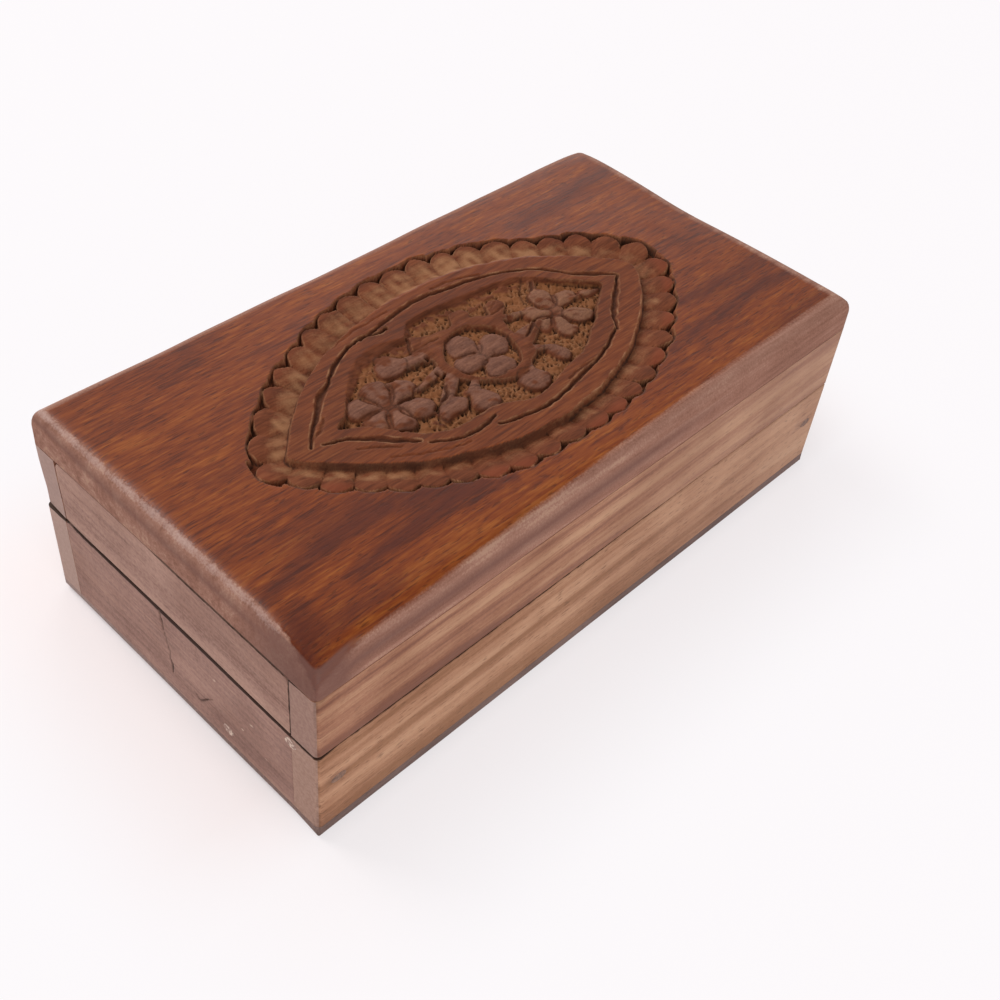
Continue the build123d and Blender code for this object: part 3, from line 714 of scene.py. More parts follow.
def rounded_rectangle(half_x, half_y, radii, inset):
    """A closed row of points, counterclockwise, with the same count for every inset."""
    row = []
    quarters = [((1, -1), -90), ((1, 1), 0), ((-1, 1), 90), ((-1, -1), 180)]
    sides = [34, 64, 34, 64]
    arcs = []
    for key, start in quarters:
        r = max(radii[key] * (1 - inset / 9), 0.5)
        cx, cy = key[0] * (half_x - r), key[1] * (half_y - r)
        turns = [radians(start + 90 * i / (corner_points - 1)) for i in range(corner_points)]
        arcs.append([(cx + r * cos(t), cy + r * sin(t)) for t in turns])
    for i, arc in enumerate(arcs):
        row += arc
        a, b = np.array(arc[-1]), np.array(arcs[(i + 1) % 4][0])
        row += [tuple(a + (b - a) * k / sides[i]) for k in range(1, sides[i])]
    return np.array(row)


def along_edge(row):
    """How far the shoulder wanders from its line, as a share of each inset."""
    return 1 + 0.16 * (wave(row[:, 0] * 1.4, row[:, 1] * 1.4, 0) - 0.5) * 2


def to_corner(x, y, side_x, side_y):
    """Distance to a corner of the board: -1, -1 is the left front one."""
    return np.hypot(x - side_x * half_length, y - side_y * half_width)


def face_dip(x, y):
    """The face isn't flat: it waves, dips at the middle of the right end, and falls at three corners."""
    dip = 0.10 * wave(x * 0.8, y * 0.8, 1) + 0.07 * wave(x * 1.9, y * 1.9, 3)
    dip = dip + 1.0 * np.exp(-((y - 7) / 15) ** 2) * ease(x, 84, 101)
    for side_x, side_y, reach, deep in ((-1, -1, 9, 3.0), (1, -1, 5, 0.4), (1, 1, 6, 1.2)):
        dip = dip + deep * np.exp(-(to_corner(x, y, side_x, side_y) / reach) ** 2)
    return dip


def dryness(x, y):
    """How far the dry dusty edge reaches over the face: narrow at the left, wide and soft at the right."""
    to_right = ease(x, -85, 70)
    # the oil runs out in a narrow tongue almost to the tip of the left front corner
    tip = np.exp(-(to_corner(x, y, -1, -1) / 11) ** 2)
    left = ease(-(x + half_length), -3.9 + 3.0 * tip, -2.7 + 2.6 * tip)
    front = ease(-(y + half_width), -(3.0 + 4.5 * to_right) + 2.2 * tip, -(0.5 + 2.1 * to_right) + 0.4 * tip)
    right = ease(x - half_length, -7.5, -3.0)
    back = ease(y - half_width, -5.5, -2.6)
    return np.maximum.reduce([left, front, right, back])


outline = rounded_rectangle(half_length, half_width, corner_radii, 0)
wander = along_edge(outline)
rows = []
for inset, _ in edge_rows:
    moved = rounded_rectangle(half_length - inset, half_width - inset, corner_radii, inset)
    # the shoulder wanders, and the flat side below it doesn't
    rows.append(moved + (moved - outline) * (wander[:, None] - 1) * (inset >= 1))
count = len(outline)
print("points round the board", count)

# %% Wide triangles between the fine grid and the first row
edge_use = {}
for a, b in [(0, 1), (1, 2), (2, 3), (3, 0)]:
    for p, q in zip(corner[a].tolist(), corner[b].tolist()):
        key = (min(p, q), max(p, q))
        edge_use[key] = edge_use.get(key, 0) + 1
rim_edges = [e for e, times in edge_use.items() if times == 1]
rim_points = sorted({p for e in rim_edges for p in e})
local = {p: i for i, p in enumerate(rim_points)}
loose_x, loose_y = np.meshgrid(np.arange(-92, 92.1, 3.2), np.arange(-44.6, 44.7, 2.1), indexing="ij")
loose = np.stack([loose_x.ravel(), loose_y.ravel()], 1) + generator.uniform(-0.6, 0.6, (loose_x.size, 2))
away = (~inside(loose, border_line)) & (distance_to(loose, border_line, True)[0] > margin + 1.5)
loose = loose[away & (np.abs(loose[:, 0]) < 93.4) & (np.abs(loose[:, 1]) < 46)]
flat_points = np.vstack([fine[rim_points], rows[0], loose])
ring_start = len(rim_points)
constraints = [(local[p], local[q]) for p, q in rim_edges]
constraints += [(ring_start + i, ring_start + (i + 1) % count) for i in range(count)]
made = geometry.delaunay_2d_cdt([Vector(p) for p in flat_points], constraints, [], 0, 1e-7, True)
origin = [ids[0] for ids in made[3]]
triangles = np.array([[origin[i] for i in f] for f in made[2] if len(f) == 3])
middles = flat_points[triangles].mean(1)
gi = np.clip(((middles[:, 0] - xs[0]) / grid_step).astype(int), 0, cells.shape[0] - 1)
gj = np.clip(((middles[:, 1] - ys[0]) / grid_step).astype(int), 0, cells.shape[1] - 1)
in_grid = (middles[:, 0] > xs[0]) & (middles[:, 1] > ys[0]) & cells[gi, gj]
keep = ~in_grid & inside(middles, rows[0])
triangles = triangles[keep]
print("wide triangles", len(triangles))

# %% All the points of the board
row_points = []
for k, ((inset, drop), row) in enumerate(zip(edge_rows, rows)):
    fade = np.clip(1 - drop / 9, 0, 1)
    # the shoulder is tighter at the back left corner and at the front right one
    tight = 1 - 0.4 * np.exp(-(to_corner(*row.T, -1, 1) / 22) ** 2)
    tight = tight - 0.4 * np.exp(-(to_corner(*row.T, 1, -1) / 24) ** 2)
    z = box_height - drop * tight - face_dip(*row.T) * fade
    # the last three rows are level, because they meet the walls
    if k >= len(edge_rows) - 3:
        z = np.full(count, box_height - drop)
    row_points.append(np.column_stack([row, z]))
loose_points = np.column_stack([loose, box_height - face_dip(*loose.T)])
fine_points = np.column_stack([fine, box_height - face_dip(*fine.T) - depth_fine])
row_start = len(fine_points)
loose_start = row_start + count * len(rows)
board_points = np.vstack([fine_points] + row_points + [loose_points])
to_board = np.concatenate([rim_points, row_start + np.arange(count), loose_start + np.arange(len(loose))])
faces += to_board[triangles].tolist()
for k in range(len(rows) - 1):
    upper = row_start + k * count
    lower = upper + count
    for i in range(count):
        j = (i + 1) % count
        faces.append((upper + j, upper + i, lower + i, lower + j))
last = row_start + (len(rows) - 1) * count
faces.append(tuple(last + i for i in reversed(range(count))))
board_points = sanded(board_points)
board_mesh = bpy.data.meshes.new("lid_top_board")
board_mesh.from_pydata(board_points.tolist(), [], faces)
board_mesh.update()
print("points of the board", len(board_points))

# %% [markdown]
# Figure of the face
# The wood shows broad dark streaks where the tree laid down more colour, and pale ones between. They
# follow the grain, but where they lie is chance, so they are given as lines. Each row below holds a
# strength, dark above zero and pale below it, and points with a half width.

# %% Streaks of the face
figure_lines = [
    (1.0, [(-101, -33, 2.0), (-86, -29.5, 2.6), (-70, -27.2, 3), (-56, -28.5, 3.2), (-44, -32, 2.6),
           (-34, -36, 1.5)]),
    (1.0, [(-80, -39.5, 1.2), (-66, -38, 2.2), (-52, -37, 2.7), (-40, -38.5, 2.2), (-28, -41, 1)]),
    (0.6, [(-101, -14, 1.5), (-86, -18, 2.3), (-72, -20.5, 2.3), (-58, -21.5, 1.4)]),
    (0.9, [(-100, -50, 3), (-96, -42, 3.6), (-92, -38, 2)]),
    (0.6, [(-92, -46, 2.5), (-80, -47, 2.2), (-70, -46, 1.2)]),
    (0.6, [(-72, 47, 2), (-66, 45, 4), (-58, 46, 3), (-50, 48, 1.5)]),
    (0.55, [(-86, 5.5, 1.2), (-80, 4.5, 2), (-73, 4, 1.6)]),
    (0.45, [(-84, 46, 1), (-78, 47, 1.6), (-72, 46, 1)]),
    (0.4, [(-100, 38, 0.8), (-84, 37, 1.2), (-70, 39.5, 1.0), (-58, 41, 0.8)]),
    (0.8, [(48, 33, 1.5), (60, 33.5, 3), (75, 35, 2.6), (88, 36.5, 2.6), (101, 37.5, 2)]),
    (0.45, [(24, 42.5, 2), (31, 41, 2.6), (36, 38, 2)]),
    (0.4, [(72, 0, 0.8), (84, 0.3, 0.9), (101, -1, 0.8)]),
    (0.35, [(78, -8, 2.5), (90, -9, 3), (101, -8, 3)]),
    (0.75, [(57, -22, 1.5), (68, -23.5, 3), (84, -24.5, 3), (101, -24, 3)]),
    (0.95, [(40, -35, 1), (52, -33.5, 2), (66, -34, 2.2), (80, -32.2, 2.2), (101, -34.5, 2.2)]),
    (0.5, [(68, -46.5, 1.2), (80, -47.5, 2), (95, -47, 2)]),
    (-0.15, [(-66, -45, 3), (-40, -46, 4), (-10, -46.5, 4), (20, -45, 4), (45, -43, 4.5), (70, -41, 4),
            (100, -40, 3)]),
    (-0.5, [(-101, -34.8, 1), (-88, -34.5, 1.6), (-76, -34.5, 1.4), (-66, -33.5, 1)]),
    (-0.4, [(66, 15, 3), (80, 15.5, 4), (101, 16, 4)]),
    (-0.35, [(60, 29, 0.8), (80, 27, 0.9), (101, 25.5, 0.8)]),
    (-0.45, [(-100, 30, 3), (-80, 26, 4), (-62, 30, 3), (-48, 36, 3)]),
    (-0.4, [(-98, 10, 2), (-84, 10, 2.5), (-76, 9, 1.5)]),
    (-0.35, [(-40, 39, 2), (-25, 42, 2), (-5, 45, 2.5), (20, 48, 2.5)]),
    (-0.4, [(38, 40, 3), (48, 38, 3)]),
]
face_points = board_points[:, :2]
figure_all = np.zeros(len(face_points))
for strength, line in figure_lines:
    d, half_wide = distance_to(face_points, smooth_line(line, False, 2))
    figure_all += strength * np.exp(-(d / (half_wide[:, 0] + 0.4)) ** 2)
figure_all = np.clip(figure_all, -1, 1)
print("streaks of the face", len(figure_lines))

# %% [markdown]
# What the trees need to know
# Geometry Nodes can't read these lines of points, so what they need is written at each vertex under a
# name: how far it is from the band, whether it is bare ground, and how steep and deep the carver cut there.

# %% Make every face look outwards, and write what the next steps need at each vertex
bm = bmesh.new()
bm.from_mesh(board_mesh)
bmesh.ops.recalc_face_normals(bm, faces=bm.faces)
open_edges = sum(1 for e in bm.edges if not e.is_manifold)
bm.to_mesh(board_mesh)
bm.free()
print("faces of the board", len(board_mesh.polygons), "open edges", open_edges)


def on_board(values, elsewhere=0.0):
    """Values of the fine grid, followed by one value for all other points of the board."""
    return np.concatenate([values, np.full((len(board_points) - len(values), *values.shape[1:]), elsewhere)])


fx, fy = fine[:, 0], fine[:, 1]
from_band = -signed_distance(fine + wobble, smooth_line(band_edge, True, 4))
low_left = ease(-fx, -5, 25) * ease(-fy, 0, 8)
high_right = ease(fy, 8, 22) * ease(fx, -18, 0)
tree_values = {
    "from_band": on_board(from_band, 99),
    "bare_ground": on_board(bare_fine),
    "in_border": on_board(np.ones(len(fine))),
    "wall_width": on_board(0.7 + 0.9 * low_left + 2.0 * high_right, 1),
    "foot_rise": on_board(0.55 * high_right + 0.12 * rough(fine, 6, 33)),
    "wobble": on_board(np.column_stack([wobble, 0 * fx])),
}
for name, values in tree_values.items():
    write_values(board_mesh, name, values)
print("values for the trees:", ", ".join(tree_values))

# %% [markdown]
# Petals of the border
# Forty petals stand round the medallion, one beside the other, so Geometry Nodes cut them. Each petal is
# a guide point in its middle, which knows the way to the band and how far its neighbours are. For every
# vertex of the board the tree finds the nearest petal, works out where the vertex lies in it, and
# lowers it: a round outer end near the face, a crowned back, a scoop down to the foot of the band, and
# a deep chip in the corner between two petals. Sizes are the tree's inputs.

# %% Guide points, one for each petal
middle = np.array(petal_middles, float)
following = np.roll(middle, -1, 0)
previous = np.roll(middle, 1, 0)
tangent = following - previous
tangent /= np.linalg.norm(tangent, axis=1)[:, None]
inward = np.column_stack([-tangent[:, 1], tangent[:, 0]])
ahead = ((following - middle) * tangent).sum(1) / 2
behind = ((middle - previous) * tangent).sum(1) / 2
guide_mesh = bpy.data.meshes.new("petal guides")
guide_mesh.from_pydata([(x, y, 0) for x, y in middle], [], [])
lean = generator.uniform(-1, 1, len(middle))
lower = generator.uniform(-0.12, 0.22, len(middle))
slimness = generator.uniform(0.88, 1.14, len(middle))
longer = generator.uniform(-0.5, 0.4, len(middle))
for name, values in (("inward", np.column_stack([inward, np.zeros(len(middle))])), ("ahead", ahead),
                     ("behind", behind), ("lean", lean), ("lower", lower), ("slimness", slimness),
                     ("longer", longer)):
    write_values(guide_mesh, name, values)
guides = add_object("petal guides", guide_mesh)
print("half widths of petals", ahead.min().round(2), "to", ahead.max().round(2))


# %% How every tree starts and ends
def start_tree(name, sizes, others=()):
    """An empty Geometry Nodes tree with named inputs, its call for nodes, and those inputs by name."""
    tree = bpy.data.node_groups.new(name, "GeometryNodeTree")
    for label, kind in [("Geometry", "NodeSocketGeometry"), *others, ("Material", "NodeSocketMaterial")]:
        tree.interface.new_socket(label, in_out="INPUT", socket_type=kind)
    for label, value in sizes.items():
        kind = "NodeSocketInt" if isinstance(value, int) else "NodeSocketFloat"
        tree.interface.new_socket(label, in_out="INPUT", socket_type=kind).default_value = value
    tree.interface.new_socket("Geometry", in_out="OUTPUT", socket_type="NodeSocketGeometry")
    node = partial(add_node, tree)
    given = {socket.name: socket for socket in node("NodeGroupInput").outputs if socket.name}
    given["position"] = node("GeometryNodeInputPosition")
    return tree, node, given


def finish_tree(node, given, offset):
    """Ends a tree: each vertex moves by its offset, and the result is plain geometry with a material."""
    moved = node("GeometryNodeSetPosition", {0: given["Geometry"], "Offset": offset})
    real = node("GeometryNodeRealizeInstances", [moved])
    dressed = node("GeometryNodeSetMaterial", {0: real, "Material": given["Material"]})
    node("NodeGroupOutput", [dressed])


# %% The tree that cuts the petals
petal_sizes = {
    "Outer end": 3.9, "Round length": 3.2, "Outer depth": 0.3, "Foot depth": 1.8, "Chip depth": 2.5,
    "Crown": 0.6, "Margin": 0.2, "Scallop": 0.8, "Narrow end": 0.76, "Wide end": 1.1,
}
petal_tree, node, v = start_tree("Petals round a band", petal_sizes, [("Guides", "NodeSocketObject")])
for name in ("wobble", "from_band", "in_border", "wall_width", "foot_rise"):
    kind = "FLOAT_VECTOR" if name == "wobble" else "FLOAT"
    v[name] = node("GeometryNodeInputNamedAttribute", [name], data_type=kind)
guide_points = node("GeometryNodeObjectInfo", {"Object": v["Guides"]}).outputs["Geometry"]
work_out(node, v, [("flat", "VECTOR MULTIPLY_ADD", "position", (1.0, 1.0, 0.0), "wobble")])
nearest = node("GeometryNodeSampleNearest", [guide_points, v["flat"]])
for name in ("inward", "middle", "ahead", "behind", "lean", "lower", "slimness", "longer"):
    kind = "FLOAT_VECTOR" if name in ("inward", "middle") else "FLOAT"
    value = v["position"]
    if name != "middle":
        value = node("GeometryNodeInputNamedAttribute", [name], data_type=kind)
    v[name] = node("GeometryNodeSampleIndex", [guide_points, value, nearest], data_type=kind)
work_out(node, v, [
    ("across", "VECTOR CROSS_PRODUCT", "inward", (0.0, 0.0, 1.0)),
    ("offset", "VECTOR SUBTRACT", "flat", "middle"),
    # in: from the outer end towards the band; sideways: along the row of petals, in millimetres
    ("in", "VECTOR DOT_PRODUCT", "offset", "inward"),
    ("in", "ADD", "in", "Outer end"),
    ("in", "ADD", "in", "longer"),
    ("sideways", "VECTOR DOT_PRODUCT", "offset", "across"),
    ("is ahead", "GREATER_THAN", "sideways", 0.0),
    ("half", "MIX", "is ahead", "behind", "ahead"),
    ("side", "DIVIDE", "sideways", "half"),
    ("side squared", "MULTIPLY", "side", "side"),
    # a petal is narrow at its outer end, and that end is round
    ("taper", "RANGE", "in", 0.2, 3.6, "Narrow end", "Wide end"),
    ("half", "MULTIPLY", "half", "taper"),
    ("half", "MULTIPLY", "half", "slimness"),
    ("share", "DIVIDE", "sideways", "half"),
    ("share squared", "MULTIPLY", "share", "share"),
    ("to round", "SUBTRACT", "Round length", "in"),
    ("to round", "MAXIMUM", "to round", 0.0),
    ("to round", "DIVIDE", "to round", "Round length"),
    ("radius", "MULTIPLY_ADD", "to round", "to round", "share squared"),
    ("radius", "SQRT", "radius"),
    ("from edge", "SUBTRACT", 1.0, "radius"),
    ("from edge", "MULTIPLY", "from edge", "half"),
    # its back is scooped down to the foot of the band, with a crown along the middle
    ("reach", "ADD", "in", "from_band"),
    ("scoop", "DIVIDE", "in", "reach"),
    ("scoop", "SMOOTH RANGE", "scoop", 0.12, 0.95),
    ("foot", "ADD", "Foot depth", "lower"),
    ("foot", "SUBTRACT", "foot", "foot_rise"),
    ("deep", "SUBTRACT", "foot", "Outer depth"),
    ("back", "MULTIPLY_ADD", "scoop", "deep", "Outer depth"),
    ("crown", "MULTIPLY", "side squared", "Crown"),
    ("back", "ADD", "back", "crown"),
    ("lean", "MULTIPLY", "lean", "side"),
    ("back", "MULTIPLY_ADD", "lean", 0.28, "back"),
    # a chip is knocked out of the corner between two petals
    ("chip", "SUBTRACT", 1.0, "scoop"),
    ("chip", "MULTIPLY_ADD", "chip", 1.6, 0.12),
    ("chip", "ADD", "back", "chip"),
    ("chip", "MINIMUM", "chip", "Chip depth"),
    ("chip", "MAXIMUM", "chip", "back"),
    ("on petal", "SMOOTH RANGE", "from edge", -0.22, 0.24),
    ("cut", "MIX", "on petal", "chip", "back"),
    # nothing is cut beyond the scalloped line, outside the fine grid, or in the band
    ("bow", "MULTIPLY", "side squared", "Scallop"),
    ("within", "SUBTRACT", "in", "bow"),
    ("within", "ADD", "within", "Margin"),
    ("within", "SMOOTH RANGE", "within", -0.05, 0.4),
    ("wall", "SMOOTH RANGE", "from_band", 0.0, "wall_width"),
    ("within", "MULTIPLY", "within", "in_border"),
    ("within", "MULTIPLY", "within", "wall"),
    ("lowered", "MULTIPLY", "cut", "within"),
    ("lowered", "MULTIPLY", "lowered", -1.0)])
finish_tree(node, v, node("ShaderNodeCombineXYZ", {"Z": v["lowered"]}))
print(petal_tree.name, "has", len(petal_tree.nodes), "nodes")

# %% [markdown]
# Punch marks of the ground
# The sunk ground between the flowers is roughened with a pointed punch, so that it looks dark and the
# flowers stand out. The marks repeat over a surface, so this is again a tree: points spread over the bare
# ground with a fixed seed, and every vertex near a point sinks. The marks are long in one direction, as
# the punch was held slanting. They are some 1.2 mm apart and up to 1.4 mm deep.

# %% The tree that punches the ground
punch_tree, node, v = start_tree("Punched ground", {
    "Spacing": 1.15, "Radius": 0.55, "Depth": 1.4, "Waver": 2.3, "Slant": -0.95, "Seed": 5})
v["ground"] = node("GeometryNodeInputNamedAttribute", ["bare_ground"], data_type="FLOAT")
work_out(node, v, [
    ("is ground", "GREATER_THAN", "ground", 0.3),
    ("flat", "VECTOR MULTIPLY", "position", (1.0, 1.0, 0.0))])
bare_part = node("GeometryNodeSeparateGeometry", [v["Geometry"], v["is ground"]], domain="FACE")
spread = node("GeometryNodeDistributePointsOnFaces",
              {"Mesh": bare_part, "Distance Min": v["Spacing"], "Density Max": 6.0, "Seed": v["Seed"]},
              distribute_method="POISSON")
v["turned"] = node("ShaderNodeVectorRotate", {"Vector": v["flat"], "Angle": v["Slant"]},
                   rotation_type="Z_AXIS")
v["jitter"] = node("ShaderNodeTexNoise", [v["flat"], 0.75, 2.0]).outputs["Color"]
work_out(node, v, [
    ("squeezed", "VECTOR MULTIPLY", "turned", (0.55, 1.0, 0.0)),
    ("jitter", "VECTOR SUBTRACT", "jitter", (0.5, 0.5, 0.5)),
    ("jitter", "VECTOR SCALE", "jitter", "Waver"),
    ("jitter", "VECTOR MULTIPLY", "jitter", (1.0, 1.0, 0.0)),
    ("asked", "VECTOR ADD", "squeezed", "jitter")])
marks = node("GeometryNodeSetPosition", {0: spread, "Position": v["squeezed"]})
near = node("GeometryNodeProximity", [marks, None, v["asked"]], target_element="POINTS")
which = node("GeometryNodeSampleNearest", [marks, v["asked"]])
v["away"] = near.outputs["Distance"]
v["chance"] = node("FunctionNodeRandomValue", [0.05, 1.0, which, v["Seed"]], data_type="FLOAT")
work_out(node, v, [
    ("amount", "SMOOTH RANGE", "away", 0.0, "Radius", 1.0, 0.0),
    ("amount", "MULTIPLY", "amount", "chance"),
    ("amount", "MULTIPLY", "amount", "ground"),
    ("amount", "MULTIPLY", "amount", "Depth"),
    ("amount", "MULTIPLY", "amount", -1.0)])
finish_tree(node, v, node("ShaderNodeCombineXYZ", {"Z": v["amount"]}))
print(punch_tree.name, "has", len(punch_tree.nodes), "nodes")

# %% [markdown]
# The wood
# The box is made of sheesham, an oily brown hardwood with dark streaks and short open pores. Planed and
# sanded bare, it looks dusty and purplish, because nothing fills the pores. All its finishes share one
# grain pattern, noise that is stretched along the board and runs through it as real grain does. Widths
# are real: pores are some 0.5 mm wide, fibres 0.4 to 0.5 mm, which is as fine as a picture of the box shows.


# %% A grain pattern that runs through the whole board
def grain(node, along, offset, stretch=22.0, turn=0.0, streak=8.0, line=1.7, fibre=0.42):
    """Streaks, lines, fibres and pores as values about 0.5; the sizes are widths in millimetres."""
    v = {"place": node("ShaderNodeTexCoord").outputs["Object"]}
    for name, length in (("long way", stretch), ("pore way", 7)):
        scale = [TO_MM, TO_MM, TO_MM]
        scale["XYZ".index(along)] = TO_MM / length
        v[name] = node("ShaderNodeMapping", [v["place"], offset, (0, 0, turn), scale])
    v["bend"] = node("ShaderNodeTexNoise", [v["long way"], 0.045, 2.0]).outputs["Color"]
    # a broad soft noise pushes the grain sideways by a few millimetres, so that no line is straight
    work_out(node, v, [
        ("bend", "VECTOR SUBTRACT", "bend", (0.5, 0.5, 0.5)),
        ("bend", "VECTOR SCALE", "bend", 14.0),
        ("bent", "VECTOR ADD", "long way", "bend")])
    for name, width, way, detail in (
            ("streak", streak, "bent", 3.0), ("line", line, "bent", 3.0), ("fibre", fibre, "long way", 2.0),
            ("pore", 0.5, "pore way", 1.0), ("fleck", 1.1, "pore way", 2.0)):
        v[name] = node("ShaderNodeTexNoise", [v[way], 1 / width, detail, 0.55])
    return v


def read_values(node, values, names):
    """Adds the values that were written at each vertex under these names."""
    for name in names:
        values[name] = node("ShaderNodeAttribute", attribute_name=name).outputs["Fac"]


# %% [markdown]
# The lid board
# Only the face of the lid shines with oil, deep orange-brown, and old oil has sunk in, so it reflects
# less of the room than varnish would. Its sanded shoulders and the carving are dry. One material mixes
# these finishes by the values at each vertex, layer by layer, and adds painted shade in cuts and seams
# and painted highlights on ridges, rims and the turn of the shoulder.

# %% Sheesham of the lid board: oiled face, dry edges and dusty carving
# oiled wood is deep and saturated with a soft shine; where it is sanded bare it turns pale, pink and matt
sunk_oil = 0.17
lid_wood, node = new_material("sheesham, oiled face and dry edges")
v = grain(node, "X", (3.0, 11.0, 2.0), stretch=16.0, turn=radians(-3), streak=7.0, line=1.6, fibre=0.5)
read_values(node, v, ("figure", "dry", "carved", "hollow", "trough", "crest", "shoulder", "flower", "ground",
                      "red_tip", "side_shade"))
v["speck"] = node("ShaderNodeTexNoise", [v["place"], 1 / (0.55 * MM), 2.0, 0.6])
v["cloud"] = node("ShaderNodeTexNoise", [v["place"], 1 / (9 * MM), 3.0])
work_out(node, v, [
    ("tone", "WEIGH", "streak", 0.20, "line", 0.26, "fibre", 0.26, "fleck", 0.28, "figure", -0.065),
    ("surface", "RAMP", "tone", (0.37, "#471a05"), (0.44, "#612808"), (0.50, "#71310a"), (0.56, "#7f3e10"),
     (0.63, "#8f4f1b")),
    ("raw wood", "RAMP", "tone", (0.38, "#4d2512"), (0.46, "#5c2e18"), (0.54, "#6b3820"), (0.62, "#784529")),
    ("flower tone", "WEIGH", "tone", 0.8, "speck", 0.2),
    ("flower wood", "RAMP", "flower tone", (0.40, "#5f3e33"), (0.60, "#8f6451")),
    ("dry tone", "WEIGH", "streak", 0.30, "line", 0.34, "speck", 0.24, "cloud", 0.12),
    ("dry wood", "RAMP", "dry tone", (0.39, "#7c5546"), (0.47, "#8e6555"), (0.54, "#997161"),
     (0.61, "#aa8571")),
    ("dark streak", "WEIGH", "streak", 0.7, "figure", 0.45, "line", 0.5),
    ("dust", "WEIGH", "trough", 1.0, "crest", 1.0, "cloud", 0.4, "speck", 0.7),
    ("dry edge", "WEIGH", "dry", 1.0, "line", 0.4, "speck", 0.3),
    ("crease", "WEIGH", "side_shade", 0.7, "line", 0.35),
    ("rubbed", "WEIGH", "shoulder", 0.6, "speck", 0.5, "cloud", 0.7)])
# the layers: a value, where it begins to show, where it is full, how much it covers then, and its colour
for name, start, full, most, colour in (
        ("dark streak", 0.68, 1.10, 0.75, "#47190c"), ("pore", 0.59, 0.69, 0.55, "#391504"),
        ("carved", 0.1, 0.6, 1.0, "raw wood"), ("flower", 0.1, 1.0, 0.7, "flower wood"),
        ("ground", 0.2, 0.9, 0.6, "#956039"), ("red_tip", 0.1, 0.9, 0.45, "#7f3a22"),
        # dust and highlights: pale dust in the troughs, with the painted highlights of ridges and rims
        ("dust", 0.70, 1.6, 0.8, "#9a6d4b"), ("dry edge", 0.62, 1.1, 1.0, "dry wood"),
        # rubbed: pale rubbed wood, with a painted highlight on the turn of the shoulder
        ("crease", 0.25, 0.75, 0.75, "#6b4a42"), ("rubbed", 0.98, 1.32, 0.5, "#bda49c"),
        # the last layer is painted shade in hollows, cuts, seams and on shaded walls, with a little soil on
        # the band
        ("hollow", 0.15, 0.8, 0.88, "#2c1609")):
    work_out(node, v, [(name + " share", "RANGE", name, start, full, 0.0, most),
                       ("surface", "COLOUR", name + " share", "surface", colour)])
work_out(node, v, [
    ("sunk", "WEIGH", "fibre", 0.25, "streak", 0.2, "cloud", 0.15),
    ("oiled shine", "RANGE", "sunk", 0.2, 0.4, 0.34, 0.5),
    ("matt", "MAXIMUM", "dry edge share", "carved share"),
    ("roughness", "MIX", "matt", "oiled shine", 0.8),
    ("height", "WEIGH", "fibre", 0.5, "pore share", -0.6, "speck", 0.4)])
finish_material(node, v, strength=0.45, depth=0.1, shader={
    "Roughness": v["roughness"], "IOR": 1.5, "Specular IOR Level": sunk_oil})
print(lid_wood.name, "has", len(lid_wood.node_tree.nodes), "nodes")

# %% [markdown]
# Walls, ends and bottom
# The other boards are bare sheesham, and differ in tone, in stripes and in where end grain shows. Grime
# and painted shade darken the seams between them. It could be painted on a map, but the seams are straight,
# so the material works out how far each point is from a seam, and each vertex says how wide the dark is
# there.


# %% Dry sheesham of the walls, ends and bottom
def add_grime_and_shade(node, v):
    """Grime and painted shade in the seams and cracks, and grime on the soiled left front edge, as one
    value.
    """
    read_values(node, v, ("seam_low", "seam_high", "seam_side", "crack"))
    work_out(node, v, [
        # the grime and painted shade reach in from the outer sides of the box by a millimetre only
        ("sides", "VECTOR ABSOLUTE", "place"),
        ("sides", "VECTOR SUBTRACT", "sides", half_box)])
    v["in x"], v["in y"] = node("ShaderNodeSeparateXYZ", [v["sides"]]).outputs[:2]
    work_out(node, v, [
        ("near side", "MAXIMUM", "in x", "in y"),
        ("near side", "RANGE", "near side", -1.5 * MM, -0.9 * MM),
        ("grime", "MAXIMUM", "crack", 0.0)])
    # above, below and beside the ends: the seam's level, and half of the gap that is open there
    for seam, axis, level, gap in (("seam_low", "z", rim_height, 0.2), ("seam_high", "z", top_bottom, 0.0),
                                   ("seam_side", "y", 44.87, 0.0)):
        work_out(node, v, [
            ("away", "ABSOLUTE", axis),
            ("away", "SUBTRACT", "away", level * MM),
            ("away", "ABSOLUTE", "away"),
            ("away", "SUBTRACT", "away", gap * MM),
            ("away", "MULTIPLY_ADD", "wander", 0.4 * MM, "away"),
            ("reach", "MULTIPLY_ADD", seam, MM, 0.2 * MM),
            ("over", "SUBTRACT", "reach", "away"),
            ("over", "RANGE", "over", 0.0, 0.22 * MM),
            ("has seam", "RANGE", seam, 0.0, 0.12),
            ("over", "MULTIPLY", "over", "has seam"),
            ("over", "MULTIPLY", "over", "near side"),
            ("grime", "MAXIMUM", "over", "grime")])
    work_out(node, v, [
        # hands have darkened the sharp edge at the left front corner
        ("to edge", "VECTOR ADD", "place", half_box),
        ("to edge", "VECTOR MULTIPLY", "to edge", (1.0, 1.0, 0.0)),
        ("to edge", "VECTOR LENGTH", "to edge"),
        ("soiled", "MULTIPLY_ADD", "wander", 0.9 * MM, "to edge"),
        ("soiled", "RANGE", "soiled", 0.6 * MM, 1.5 * MM, 0.6, 0.0),
        ("grime", "MAXIMUM", "soiled", "grime"),
        ("grime", "MULTIPLY", "grime", 0.92)])


# bare fibres mirror less of the room than a closed surface does
dry_reflection = 0.15


